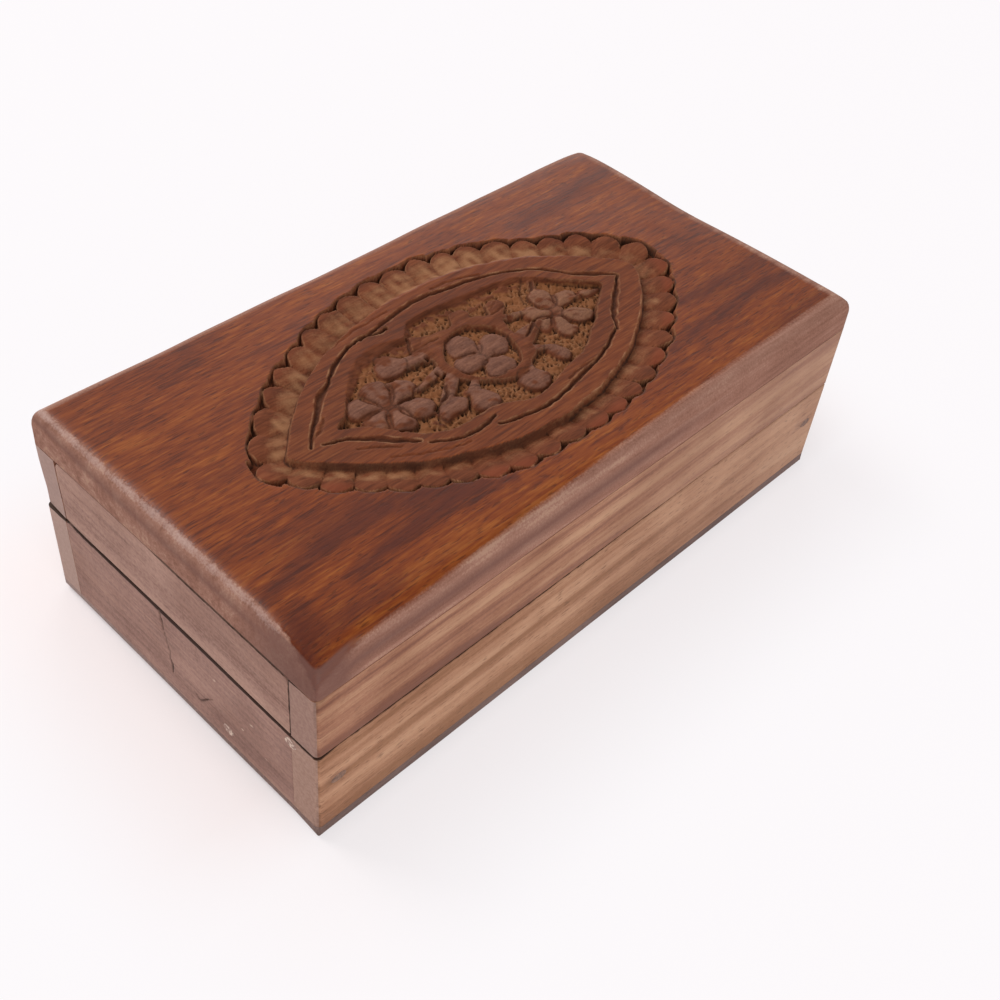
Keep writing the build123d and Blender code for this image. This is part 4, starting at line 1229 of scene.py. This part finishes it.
def dry_sheesham(name, along, offset, colours, pore_colour, streak, line, pore_share, stripes=None,
                 end_grain=None, scratched=0.0):
    """Sanded bare wood: four tones from dark to light, the colour of its open pores, stripes as height in
    the box against tone, the colours of end grain that shows at a corner, and a share of cross scratches."""
    material, node = new_material(name)
    v = grain(node, along, offset, 26.0, 0.0, streak, line)
    v.update(zip("xyz", node("ShaderNodeSeparateXYZ", [v["place"]]).outputs))
    v["speck"] = node("ShaderNodeTexNoise", [v["place"], 1 / (0.9 * MM), 3.0, 0.6])
    v["cloud"] = node("ShaderNodeTexNoise", [v["place"], 1 / (24 * MM), 2.0])
    v["wander"] = node("ShaderNodeTexNoise", [v["place"], 1 / (2.5 * MM)])
    work_out(node, v, [("tone", "WEIGH", "streak", 0.45 - 0.3 * scratched, "line", 0.25, "fibre", 0.18,
                        "speck", 0.12 + 0.3 * scratched)])
    if stripes:
        work_out(node, v, [
            # the boards get a little lighter towards the right
            ("lighter", "RANGE", "x", -100 * MM, 100 * MM, -0.045, 0.035),
            ("tone", "ADD", "tone", "lighter"),
            ("level", "MULTIPLY_ADD", "streak", 3.2 * MM, "z"),
            ("level", "RANGE", "level", 1.6 * MM, 66.8 * MM),
            ("band", "RAMP", "level", *[(z / box_height, 0.5 + shade) for z, shade in stripes]),
            ("band", "SUBTRACT", "band", 0.5),
            ("fade", "RANGE", "x", -10 * MM, 85 * MM, 0.6, 0.15),
            ("tone", "MULTIPLY_ADD", "band", "fade", "tone")])
    work_out(node, v, [
        ("surface", "RAMP", "tone", *zip((0.38, 0.46, 0.54, 0.62), colours)),
        ("pores", "RANGE", "pore", 0.60, 0.70, 0.0, pore_share),
        ("surface", "COLOUR", "pores", "surface", pore_colour),
        ("warm", "RANGE", "cloud", 0.4, 0.62, 0.0, 0.3),
        ("surface", "DARKEN", "warm", "surface", colours[1])])
    if stripes:
        work_out(node, v, [
            ("rosy", "RANGE", "x", -20 * MM, 90 * MM, 0.0, 0.2),
            ("surface", "COLOUR", "rosy", "surface", "#a58c82")])
    if end_grain:
        read_values(node, v, ["end_grain"])
        work_out(node, v, [
            ("dots", "RAMP", "speck", *zip((0.38, 0.62), end_grain)),
            # the end grain is painted paler towards the back, as a painted sheen
            ("to back", "RANGE", "y", -20 * MM, 45 * MM, 0.0, 0.35),
            ("dots", "COLOUR", "to back", "dots", "#b5a19b"),
            ("surface", "COLOUR", "end_grain", "surface", "dots")])
    add_grime_and_shade(node, v)
    read_values(node, v, ["chip"])
    work_out(node, v, [
        # grime, with painted shade in the seams and cracks
        ("surface", "COLOUR", "grime", "surface", "#23120b"),
        ("chips", "WEIGH", "chip", 1.0, "speck", 1.2),
        ("chips", "RANGE", "chips", 1.15, 1.45, 0.0, 0.85),
        ("surface", "COLOUR", "chips", "surface", "#cbb2a0"),
        ("roughness", "RANGE", "fibre", 0.35, 0.65, 0.62, 0.8),
        ("height", "WEIGH", "fibre", 0.6, "pores", -0.8, "line", 0.3)])
    finish_material(node, v, strength=0.4, depth=0.08, shader={
        "Roughness": v["roughness"], "IOR": 1.5, "Specular IOR Level": dry_reflection})
    print(name, "has", len(material.node_tree.nodes), "nodes")
    return material


# stripes: height in the box, and a tone below zero for a dark stripe, above it for a pale one
lid_stripes = [(32, -0.0766), (35, -0.1340), (37, 0.0301), (40, 0.0973), (43, -0.0978), (45, -0.0277),
               (47, 0.2165), (49.5, 0.0625), (51, -0.1169), (53, 0.0625), (56, -0.0766)]
base_stripes = [(0, -0.1625), (5, -0.1625), (7, -0.1169), (9.5, -0.0766), (12, 0.1345), (16, 0.1742),
                (19, -0.0532), (23, 0.1742), (27, 0.0625), (29, -0.1169), (32, -0.0277)]
# streak and line are widths in millimetres
# bare wood scatters light in its open fibres, so it is pale and matt and shows every pore
lid_wall_wood = dry_sheesham(
    "dry sheesham, striped", "X", (0, 5, 1), ("#865c4b", "#9d7059", "#af856a", "#ba9275"), "#6f4c3f",
    streak=5.5, line=1.3, pore_share=0.35, stripes=lid_stripes, end_grain=("#937367", "#a08073"))
base_wall_wood = dry_sheesham(
    "dry sheesham, tan", "X", (7, 2, 4), ("#997055", "#ac8166", "#b98f72", "#c29a7d"), "#6e4e3b",
    streak=6.0, line=1.2, pore_share=0.55, stripes=base_stripes, end_grain=("#9a7a6b", "#a88879"))
# the ends were sanded across the grain, which blurs the streaks and leaves them greyer
lid_end_wood = dry_sheesham(
    "dry sheesham, rosy", "Y", (2, 9, 6), ("#8b695d", "#a07e71", "#ae8b7c", "#b99686"), "#715248",
    streak=7.0, line=1.1, pore_share=0.3, scratched=0.5)
base_end_wood = dry_sheesham(
    "dry sheesham, brown", "Y", (5, 1, 8), ("#836459", "#96756a", "#a58275", "#ae8c7d"), "#6a4c43",
    streak=8.0, line=1.1, pore_share=0.3, scratched=0.5)
# the bottom board is darker and greyer than the other boards
bottom_wood = dry_sheesham(
    "dry sheesham, dark", "X", (1, 3, 7), ("#685450", "#76615c", "#806a63", "#7a655f"), "#4f3d39",
    streak=7.0, line=1.2, pore_share=0.4, end_grain=("#6f5b55", "#846d66"))

# %% [markdown]
# Fillers and metal
# The nail holes were stopped with brown wax filler, and two knocks with pale putty that was sanded
# through. The hinges, screws and nails keep the model's own shape, and only get a finish: each node's
# material slots are emptied and given the new one. Metal is never evenly bright: it shines where it is
# rubbed, is dull elsewhere, and has small dark stains.


# %% Putty and filler, and the metal of the hinges, screws and nails
def speckled(name, dark, light, size, start, full, roughness):
    """A filler: one colour with grains of another, of about a given size in millimetres."""
    material, node = new_material(name)
    place = node("ShaderNodeTexCoord").outputs["Object"]
    v = {"height": node("ShaderNodeTexNoise", [place, 1 / (size * MM), 2.0])}
    work_out(node, v, [
        ("grains", "RANGE", "height", start, full),
        ("surface", "COLOUR", "grains", dark, light)])
    finish_material(node, v, strength=0.4, depth=0.1, shader={"Roughness": roughness})
    return material


def aged_metal(name, bright, dull, stain, smooth, worn):
    """Metal that has dulled, with fine lines of drawing or turning."""
    material, node = new_material(name)
    place = node("ShaderNodeTexCoord").outputs["Object"]
    drawn = node("ShaderNodeMapping", {"Vector": place, "Scale": (TO_MM / 9, TO_MM, TO_MM)})
    v = {"height": node("ShaderNodeTexNoise", [drawn, 1 / 0.25, 2.0]),
         "cloud": node("ShaderNodeTexNoise", [place, 1 / (4 * MM), 3.0]),
         "spots": node("ShaderNodeTexNoise", [place, 1 / (0.9 * MM), 2.0])}
    work_out(node, v, [
        ("dulled", "RANGE", "cloud", 0.38, 0.62),
        ("surface", "COLOUR", "dulled", bright, dull),
        ("stained", "RANGE", "spots", 0.60, 0.72, 0.0, 0.7),
        ("surface", "COLOUR", "stained", "surface", stain),
        ("rubbed", "WEIGH", "height", 0.25, "cloud", 0.45),
        ("roughness", "RANGE", "rubbed", 0.25, 0.45, smooth, worn)])
    finish_material(node, v, strength=0.25, depth=0.03, shader={
        "Roughness": v["roughness"], "Metallic": 1.0})
    return material


# whiting in oil dries chalky and matt; wax filler is darker than the wood and slightly smooth
pale_putty = speckled("whiting putty, rubbed thin", "#94756a", "#d0baa9", size=0.8, start=0.50, full=0.60,
                      roughness=0.75)
brown_filler = speckled("brown wax filler", "#5c4034", "#86634f", size=1.1, start=0.38, full=0.60,
                        roughness=0.6)
# brass goes from gold to olive brown as it ages; drawn steel to a dull warm grey; the last two numbers
# are the roughness where the metal is rubbed smooth and where it is worn
hinge_brass = aged_metal("pressed brass, aged", "#b8945a", "#8f6f3f", "#4a3820", 0.32, 0.52)
screw_brass = aged_metal("turned brass, aged", "#c09c60", "#97773f", "#4a3820", 0.28, 0.45)
nail_steel = aged_metal("drawn steel, dull", "#8b8a88", "#6b6661", "#4a3a30", 0.38, 0.6)
metal_of = {"leaf": hinge_brass, "pin": hinge_brass, "screws": screw_brass, "nails": nail_steel}
for name, thing in sorted(nodes.items()):
    ending = name.split("_")[-1]
    if ending in metal_of:
        thing.data.materials.clear()
        thing.data.materials.append(metal_of[ending])
        print(name, "is", metal_of[ending].name)

# %% [markdown]
# Cutting
# Both trees work on the board as modifiers, first the petals and then the punch marks. The result is
# turned into a plain mesh, because the next step works from the real shape of the cuts.


# %% Cut the petals and the ground, and turn the result into a plain mesh
def add_tree(thing, tree, values):
    """Adds a tree as a modifier; each input is set through its socket's identifier."""
    modifier = thing.modifiers.new(tree.name, "NODES")
    modifier.node_group = tree
    for item in tree.interface.items_tree:
        if item.in_out == "INPUT" and item.name in values:
            modifier[item.identifier] = values[item.name]


board = add_object("carved board", board_mesh)
add_tree(board, petal_tree, {"Guides": guides, "Material": lid_wood})
add_tree(board, punch_tree, {"Material": lid_wood})
bpy.context.view_layer.update()
carved_mesh = bpy.data.meshes.new_from_object(board.evaluated_get(bpy.context.evaluated_depsgraph_get()))
carved_mesh.name = "lid_top_board"
for helper in (board, guides):
    bpy.data.objects.remove(helper)
final_points = points_of(carved_mesh)
deepest = box_height - final_points[:len(fine), 2].min()
print("carved board has", len(final_points), "vertices; deepest cut", round(deepest, 2), "mm")

# %% [markdown]
# Where dust lies, and where shade and highlights are painted
# Shade is painted into the cuts, and pale dust lies in the wide troughs. Both follow from the shape: a
# vertex that lies below the average of its surroundings is in a hollow. The average over a few cells finds
# the cuts, and the average over many finds the troughs.


# %% Painted shade in hollows, and carved wood on the fine grid
def sum_around(array, reach):
    """The sum over a square of cells round each cell, from differences of running sums."""
    for axis in (0, 1):
        padded = np.concatenate([np.zeros_like(array.take([0], axis)), array.cumsum(axis)], axis)
        at = np.arange(array.shape[axis])
        low = np.clip(at - reach, 0, len(at))
        high = np.clip(at + reach + 1, 0, len(at))
        array = padded.take(high, axis) - padded.take(low, axis)
    return array


def blurred(field, reach):
    """Average over a square of cells, counting only those that are used."""
    return sum_around(field * used, reach) / np.maximum(sum_around(used.astype(float), reach), 1)


below = np.zeros(used.shape)
below[used] = box_height - face_dip(fx, fy) - final_points[:len(fine), 2]
below = np.clip(below, 0, 9)
narrow = below - blurred(below, 1)
wider = below - blurred(below, 3)
# the darkening in hollows and knife cuts is painted shade
hollow = np.clip(narrow * 3.0 - 0.12, 0, 1) * 0.6 + np.clip(wider * 1.1 - 0.2, 0, 1) * 0.5
cut_shade = np.clip(cut_fine * 1.2 - 0.3, 0, 0.62)
# shade is painted on the steep outer wall of the band at the lower left, and the band itself is a little
# soiled
shaded = ease(-fx, -24, 20) * ease(-fy, 0, 8)
wall_shade = shaded * ease(from_band, -0.1, 0.2) * ease(-from_band, -1.7, -1.1)
wall_shade = wall_shade * (0.56 + 0.14 * rough(fine, 12, 36))
on_band = ease(-from_band, -0.1, 0.3)
soiled = on_band * (0.17 + 0.09 * np.maximum(ease(-from_band, 4, 7), ease(-fx, 48, 56)))
shade_and_soil_fine = np.clip(np.maximum.reduce([hollow[used], cut_shade, wall_shade, soiled]), 0, 1)
carved_fine = np.maximum(ease(blurred(below, 1)[used], 0.04, 0.3), 0.42 * on_band)
print("vertices in hollows", int((shade_and_soil_fine > 0.5).sum()), "of", len(fine))

# %% Dust and painted highlight on each petal, from its foot outwards, and its redder tip
which = np.array([np.hypot(fx - x, fy - y) for x, y in petal_middles]).argmin(0)
offset_x = fx - middle[which, 0]
offset_y = fy - middle[which, 1]
out_in = offset_x * inward[which, 0] + offset_y * inward[which, 1] + petal_sizes["Outer end"] + longer[which]
sideways = offset_x * tangent[which, 0] + offset_y * tangent[which, 1]
# as in the tree: from -1 to 1 across a petal, and from 0 to 1 along it
side_share = sideways / np.where(sideways > 0, ahead[which], behind[which])
along_petal = out_in / np.maximum(out_in + from_band, 0.5)
in_border = (from_band > 0.05) & (out_in > 0)
mx, my = middle[:, 0], middle[:, 1]
dust_and_highlight_amount = 0.46 + 0.36 * ease(-mx, 35, 55) + 0.4 * ease(my, 5, 25) * ease(mx, -5, 30)
dust_and_highlight_amount = dust_and_highlight_amount + 0.3 * ease(my, 5, 20)
dust_and_highlight_amount = dust_and_highlight_amount * generator.uniform(0.75, 1.15, len(middle))
redness = generator.uniform(0, 1, len(middle)) ** 1.3 * (0.35 + 0.65 * ease(-my, -8, 5))
from_outside = ease(along_petal, 0.34, 0.66)
# on the upper petals the tops are painted pale as well, as a highlight
from_outside = from_outside + 0.7 * ease(my, 15, 30)[which] * ease(along_petal, 0.05, 0.35)
dust_and_highlight_fine = dust_and_highlight_amount[which] * np.clip(from_outside, 0, 1) * ease(-along_petal, -1.0, -0.93)
dust_and_highlight_fine = dust_and_highlight_fine * (1 - 0.6 * side_share ** 2) * (0.8 + 0.35 * rough(fine, 3.5, 37))
dust_and_highlight_fine = np.clip(dust_and_highlight_fine, 0, 1) * in_border * (1 - 0.8 * shade_and_soil_fine)
# the right flower, which is the shallowest, is made paler too
dust_and_highlight_fine = np.maximum(dust_and_highlight_fine, 0.4 * flower_fine * ease(fx, 12, 22))
red_fine = redness[which] * ease(-along_petal, -0.5, -0.2) * in_border
print("dustiness of the petals", dust_and_highlight_amount.min().round(2), "to", dust_and_highlight_amount.max().round(2))

# %% Painted shade round the petals, and painted highlights and pale burrs beside the cuts
# at the upper right a wide band of painted shade lies in the cut round the petals
outside_band = from_band > 1
to_outer_cut = np.abs(out_in - petal_sizes["Scallop"] * side_share ** 2 - 0.1)
outer_cut_shade = ease(-to_outer_cut, -0.7, -0.2) * (ease(mx, 26, 42) * ease(my, -6, 4))[which]
# elsewhere a thin line of painted shade follows the round end of each petal, with a painted highlight on its
# rim; both are strongest on the lower and left petals
own_half = np.abs(sideways / np.where(side_share == 0, 1, side_share))
narrow_end, wide_end = petal_sizes["Narrow end"], petal_sizes["Wide end"]
taper = narrow_end + (wide_end - narrow_end) * np.clip((out_in - 0.2) / 3.4, 0, 1)
own_half = own_half * slimness[which] * taper
to_round = np.clip(petal_sizes["Round length"] - out_in, 0, None) / petal_sizes["Round length"]
from_edge = (1 - np.hypot(to_round, sideways / np.maximum(own_half, 0.5))) * own_half
round_end = ease(-out_in, -3.4, -2.4) * outside_band
seen_side = np.maximum(ease(-my, -4, 6), ease(-mx, 40, 56))[which]
end_line_shade = ease(-np.abs(from_edge + 0.4), -0.42, -0.12) * round_end * (0.35 + 0.25 * seen_side)
petal_rim_highlight = ease(-np.abs(from_edge - 0.15), -0.36, -0.1) * round_end * seen_side
petal_rim_highlight = petal_rim_highlight * (0.5 + 0.4 * rough(fine, 4, 41))
# the upper left petals get less painted shade
shade_and_soil_fine *= 1 - 0.3 * (ease(my, 10, 22) * ease(-mx, -30, -18))[which] * in_border
shade_and_soil_fine = np.maximum.reduce([shade_and_soil_fine, 0.5 * outer_cut_shade * outside_band, end_line_shade])
# ridges are painted pale, as highlights
crest = np.clip(-narrow * 4.2 - 0.15, 0, 1)[used] * (0.45 + 0.55 * bare_fine)
# a highlight is painted on the lower right rim of the band
band_highlight = ease(-np.abs(from_band + 0.3), -0.38, -0.1) * ease(fx, -5, 10) * ease(-fy, 2, 8)
band_highlight = band_highlight * (0.55 + 0.35 * rough(fine, 5, 38))
cut_burr_and_rim_highlight = burr_and_rim_highlight_fine * (0.55 + 0.45 * rough(fine, 4, 39))
highlight_and_burr_fine = np.clip(np.maximum.reduce([crest, band_highlight, petal_rim_highlight, cut_burr_and_rim_highlight]), 0, 1)
print("vertices on pale burrs", int((highlight_and_burr_fine > 0.5).sum()))

# %% Shade, painted highlight and rubbing on the rows down the sides, and the finished lid board
from_corner = to_corner(*outline.T, -1, -1)
left_side = ease(-outline[:, 0], 96, 101)
end_side = ease(-outline[:, 0], 98, 101)
front_side = ease(-outline[:, 1], 51, 53.5) * ease(-outline[:, 0], -60, 0)
to_front_corner = np.maximum(ease(-outline[:, 1], 20, 48) * end_side, ease(-from_corner, -16, -5))
low_seam = ease(-outline[:, 0], 100, 101.2) * ease(-outline[:, 1], -9, 0) * ease(outline[:, 1], -46.5, -44)
rubbed_highlight_row = (0.1 + 0.9 * left_side) * ease(from_corner, 5, 18)
# for each row: rubbed pale with a painted highlight, and the share of the crease's shade on the front and on
# the left end
row_looks = {2: (0.2, 0, 0), 3: (0.7, 0, 0), 4: (1.0, 0, 0), 5: (0.9, 0, 0), 6: (0.5, 0.0, 0.2),
             7: (0.15, 0.15, 0.45), 8: (0, 0.45, 0.7), 9: (0, 0.8, 0.15), 10: (0, 0.35, 0.0)}
shade_and_soil_all = on_board(shade_and_soil_fine)
shoulder_highlight_all, side_shade = np.zeros((2, len(board_points)))
for k in range(len(rows)):
    row = slice(row_start + k * count, row_start + (k + 1) * count)
    rubbed, on_front, on_end = row_looks.get(k, (0, 0, 0))
    shoulder_highlight_all[row] = rubbed * rubbed_highlight_row
    side_shade[row] = np.maximum(on_front * front_side, on_end * end_side)
    if 5 <= k < len(rows) - 1:
        side_shade[row] = np.maximum(side_shade[row], 0.95 * to_front_corner)
    # painted shade and grime in the seam at the foot of the lid board's left end
    if k >= len(rows) - 2:
        shade_and_soil_all[row] = 0.8 * low_seam
looks = {"hollow": shade_and_soil_all, "carved": on_board(carved_fine), "trough": on_board(dust_and_highlight_fine),
         "dry": dryness(board_points[:, 0], board_points[:, 1]), "shoulder": shoulder_highlight_all,
         "crest": on_board(highlight_and_burr_fine), "flower": on_board(flower_fine), "red_tip": on_board(red_fine),
         "ground": on_board(bare_fine), "figure": figure_all, "side_shade": side_shade}
for name in tree_values:
    carved_mesh.attributes.remove(carved_mesh.attributes[name])
for name, values in looks.items():
    write_values(carved_mesh, name, values)
final_points[:, 2] = np.minimum(final_points[:, 2], box_height)
set_points(carved_mesh, final_points)
place_piece("lid_top_board_carved", carved_mesh, "lid", lid_wood, "lid_top_board")
print("values at each vertex of the lid board:", ", ".join(looks))

# %% [markdown]
# Cracks and open joints
# The base's left end cracked as it dried, and its joints opened a little, while the lid's left end shrank
# at its top. Cracks are lines like the knife cuts above, drawn on the outer side of the board. The seams
# are only as wide as the values below say, and the material paints grime and painted shade in them.

# %% Cracks of the left end, open joints and rounded corners
# depth, then points along y and z with a width, on the outer side of the base's left end
crack_lines = [
    (0.6, [(5.2, 32.9, 0.45), (4.9, 30, 0.4), (4.5, 27.6, 0.3), (4.4, 25.6, 0.1)]),
    (0.25, [(4.0, 24.8, 0.1), (3.4, 21, 0.2), (2.8, 18.6, 0.2), (3.0, 16, 0.2)]),
    (0.45, [(3.0, 15.6, 0.2), (2.4, 13.6, 0.35), (2.7, 10.4, 0.3)]),
    (0.35, [(-14, 15.3, 0.1), (-12, 13.4, 0.2), (-10.2, 11.3, 0.25), (-8.6, 9.8, 0.3), (-7.2, 10.8, 0.1)]),
    (0.12, [(-9.4, 26.4, 0.1), (-9.1, 29, 0.1), (-9.6, 32, 0.1)]),
]
pale_chips = [(-30, 21, 1.2), (-26, 15.5, 0.9), (-35, 12.5, 0.8), (-16, 25, 1.1), (-49.5, 16, 1.2),
              (-47, 11, 0.8), (30, 42, 0.9), (-8, 28, 0.7)]


def seams_of(points):
    """Half widths of the dark seams at each point: under the lid, under the lid board, beside the ends."""
    x, y, z = points.T
    left = x < -99
    front = y < -51.5
    outer = left | front | (x > 99) | (y > 51.5)
    low = np.where(left, 0.3 + 0.2 * ease(-y, -45, -38) + 0.3 * ease(y, 43, 46),
                   np.where(front, 0.05 + 0.2 * ease(-x, -60, 20), 0.12))
    high = np.where(left, (0.05 + 0.42 * ease(-y, -7, 2)) * ease(y, -46, -44.9),
                    np.where(front, 0.12 * ease(-x, 92, 98), 0.06))
    beside = np.where(z > rim_height, np.where(y < 0, 0.36, 0.16), np.where(y < 0, 0.03, 0.12))
    beside = np.where(left, beside, 0.06) * (np.abs(x) > 99)
    return {"seam_low": low * outer, "seam_high": high * outer, "seam_side": beside}


def mark_left_end(points):
    """Cracks and pale chips on the outer side of the left end: how far in, how dark and how pale."""
    flat = points[:, 1:]
    on_side = points[:, 0] < -half_length + 0.02
    into, dark = np.zeros(len(points)), np.zeros(len(points))
    for deep, line in crack_lines:
        d, width = distance_to(flat, smooth_line(line))
        share = np.clip(1.1 - d / (width[:, 0] / 2 + 0.2), 0, 1) * on_side
        into = np.maximum(into, deep * share)
        dark = np.maximum(dark, np.clip(share * 1.6, 0, 1) * min(1, 2.2 * deep))
    pale = np.zeros(len(points))
    for y, z, size in pale_chips:
        away = np.hypot((flat[:, 0] - y) * 0.6, (flat[:, 1] - z) * 1.3)
        pale = np.maximum(pale, ease(-away, -size, 0) * on_side)
    return into, dark, pale


def round_corner(points, y_side, radius):
    """Rounds an upper corner of the lid's left end, without folding the mesh over itself."""
    y0, z0 = y_side * (44.75 - radius), top_bottom - radius
    u = np.clip((points[:, 1] * y_side - abs(y0)) / radius, 0, 1)
    v = np.clip((points[:, 2] - z0) / radius, 0, 1)
    both = (u > 0) & (v > 0)
    factor = np.where(both, np.maximum(u, v) / np.maximum(np.hypot(u, v), 1e-9), 1)
    points[:, 1] = np.where(both, y0 + y_side * radius * u * factor, points[:, 1])
    points[:, 2] = np.where(both, z0 + radius * v * factor, points[:, 2])


# %% [markdown]
# Boards with worn sides
# The plain boards keep the model's shape with all its holes and mortises. A copy of each is merged, cut
# across into short lengths so that it can bend, and sent through the same sanding as the lid board, so
# that their sides stay flush with each other and the seams stay thin and uneven.


# %% Worn copies of the boards
def slice_across(bm, axis, at):
    """Cuts every face where one coordinate has a given value, without parting the mesh."""
    place, direction = [0, 0, 0], [0, 0, 0]
    place[axis], direction[axis] = at, 1
    everything = bm.verts[:] + bm.edges[:] + bm.faces[:]
    bmesh.ops.bisect_plane(bm, geom=everything, dist=1e-7, plane_co=place, plane_no=direction)


def worn_copy(name, slices):
    """A merged copy of a node's mesh, cut at even distances and sanded, in metres."""
    bm = bmesh.new()
    bm.from_mesh(nodes[name].data)
    bmesh.ops.remove_doubles(bm, verts=bm.verts, dist=1e-6)
    low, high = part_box(name)
    for axis, step in enumerate(slices):
        cuts = max(1, round((high[axis] - low[axis]) / (step * MM))) if step else 1
        for i in range(1, cuts):
            slice_across(bm, axis, low[axis] + (high[axis] - low[axis]) * i / cuts)
    # one more cut just inside each outer side keeps the grime of the seams near the outside
    for kind, axis, level in (("end", 0, -98.8), ("end", 0, 98.8), ("wall", 1, -51.3), ("wall", 1, 51.3)):
        if kind in name and low[axis] < level * MM < high[axis]:
            slice_across(bm, axis, level * MM)
    mesh = bpy.data.meshes.new(name)
    bm.to_mesh(mesh)
    bm.free()
    points = points_of(mesh, TO_MM)
    for seam, values in seams_of(points).items():
        write_values(mesh, seam, values)
    normals = np.zeros(len(mesh.polygons) * 3, np.float32)
    mesh.polygons.foreach_get("normal", normals)
    write_values(mesh, "end_grain", np.abs(normals[0::3]) > 0.7, "FACE")
    # the rims of the left ends have warped up at their middle, so the seam there bows
    bow = np.clip(1 - ((points[:, 1] + 4) / 44) ** 2, 0, 1)
    lift = {"lid_left_end": 0.45, "base_left_end": 0.3}.get(name, 0)
    points[:, 2] += lift * bow * np.clip(1 - np.abs(points[:, 2] - rim_height) / 6, 0, 1)
    if name == "base_left_end":
        into, dark, pale = mark_left_end(points)
        points[:, 0] += into
        write_values(mesh, "crack", dark)
        write_values(mesh, "chip", pale)
    if name == "lid_left_end":
        shrunk = 0.35 * ease(-points[:, 1], -8, 2) * ease(points[:, 2], 50, top_bottom)
        round_corner(points, -1, 1.7)
        round_corner(points, 1, 2.4)
        points[:, 2] -= shrunk
    if name == "base_bottom_board":
        # the lower front edge is hardly rounded
        at_edge = (points[:, 1] < -51.5) & (points[:, 2] < 2.5)
        points[:, 1] = np.where(at_edge, -half_width + 0.4 * (points[:, 1] + half_width), points[:, 1])
        points[:, 2] = np.where(at_edge, 0.4 * points[:, 2], points[:, 2])
    set_points(mesh, sanded(points))
    mesh.set_sharp_from_angle(angle=radians(28))
    return mesh


# %% The boards, the putty and the filler
# each row: node, body, slot, material, and how far apart the cuts are along x, y and z, in millimetres
board_finishes = [
    ("lid_front_wall", "lid", "lid_wall_wood", lid_wall_wood, (7, 0, 5)),
    ("lid_back_wall", "lid", "lid_wall_wood", lid_wall_wood, (7, 0, 5)),
    ("lid_left_end", "lid", "lid_end_wood", lid_end_wood, (0, 0.6, 0.6)),
    ("lid_right_end", "lid", "lid_end_wood", lid_end_wood, (0, 7, 5)),
    ("base_front_wall", "base", "base_wall_wood", base_wall_wood, (7, 0, 5)),
    ("base_back_wall", "base", "base_wall_wood", base_wall_wood, (7, 0, 5)),
    ("base_left_end", "base", "base_end_wood", base_end_wood, (0, 0.45, 0.45)),
    ("base_right_end", "base", "base_end_wood", base_end_wood, (0, 7, 5)),
    ("base_bottom_board", "base", "bottom_board_wood", bottom_wood, (9, 9, 0)),
    ("left_end_putty", "base", "pale_putty", pale_putty, (0, 0, 0)),
    ("wall_nail_fillings", "base", "dark_filler", brown_filler, (0, 0, 0)),
]
for name, body, slot, material, slices in board_finishes:
    mesh = worn_copy(name, slices)
    place_piece(name + "_worn", mesh, body, material, name)
    print(name, len(mesh.polygons), "faces")
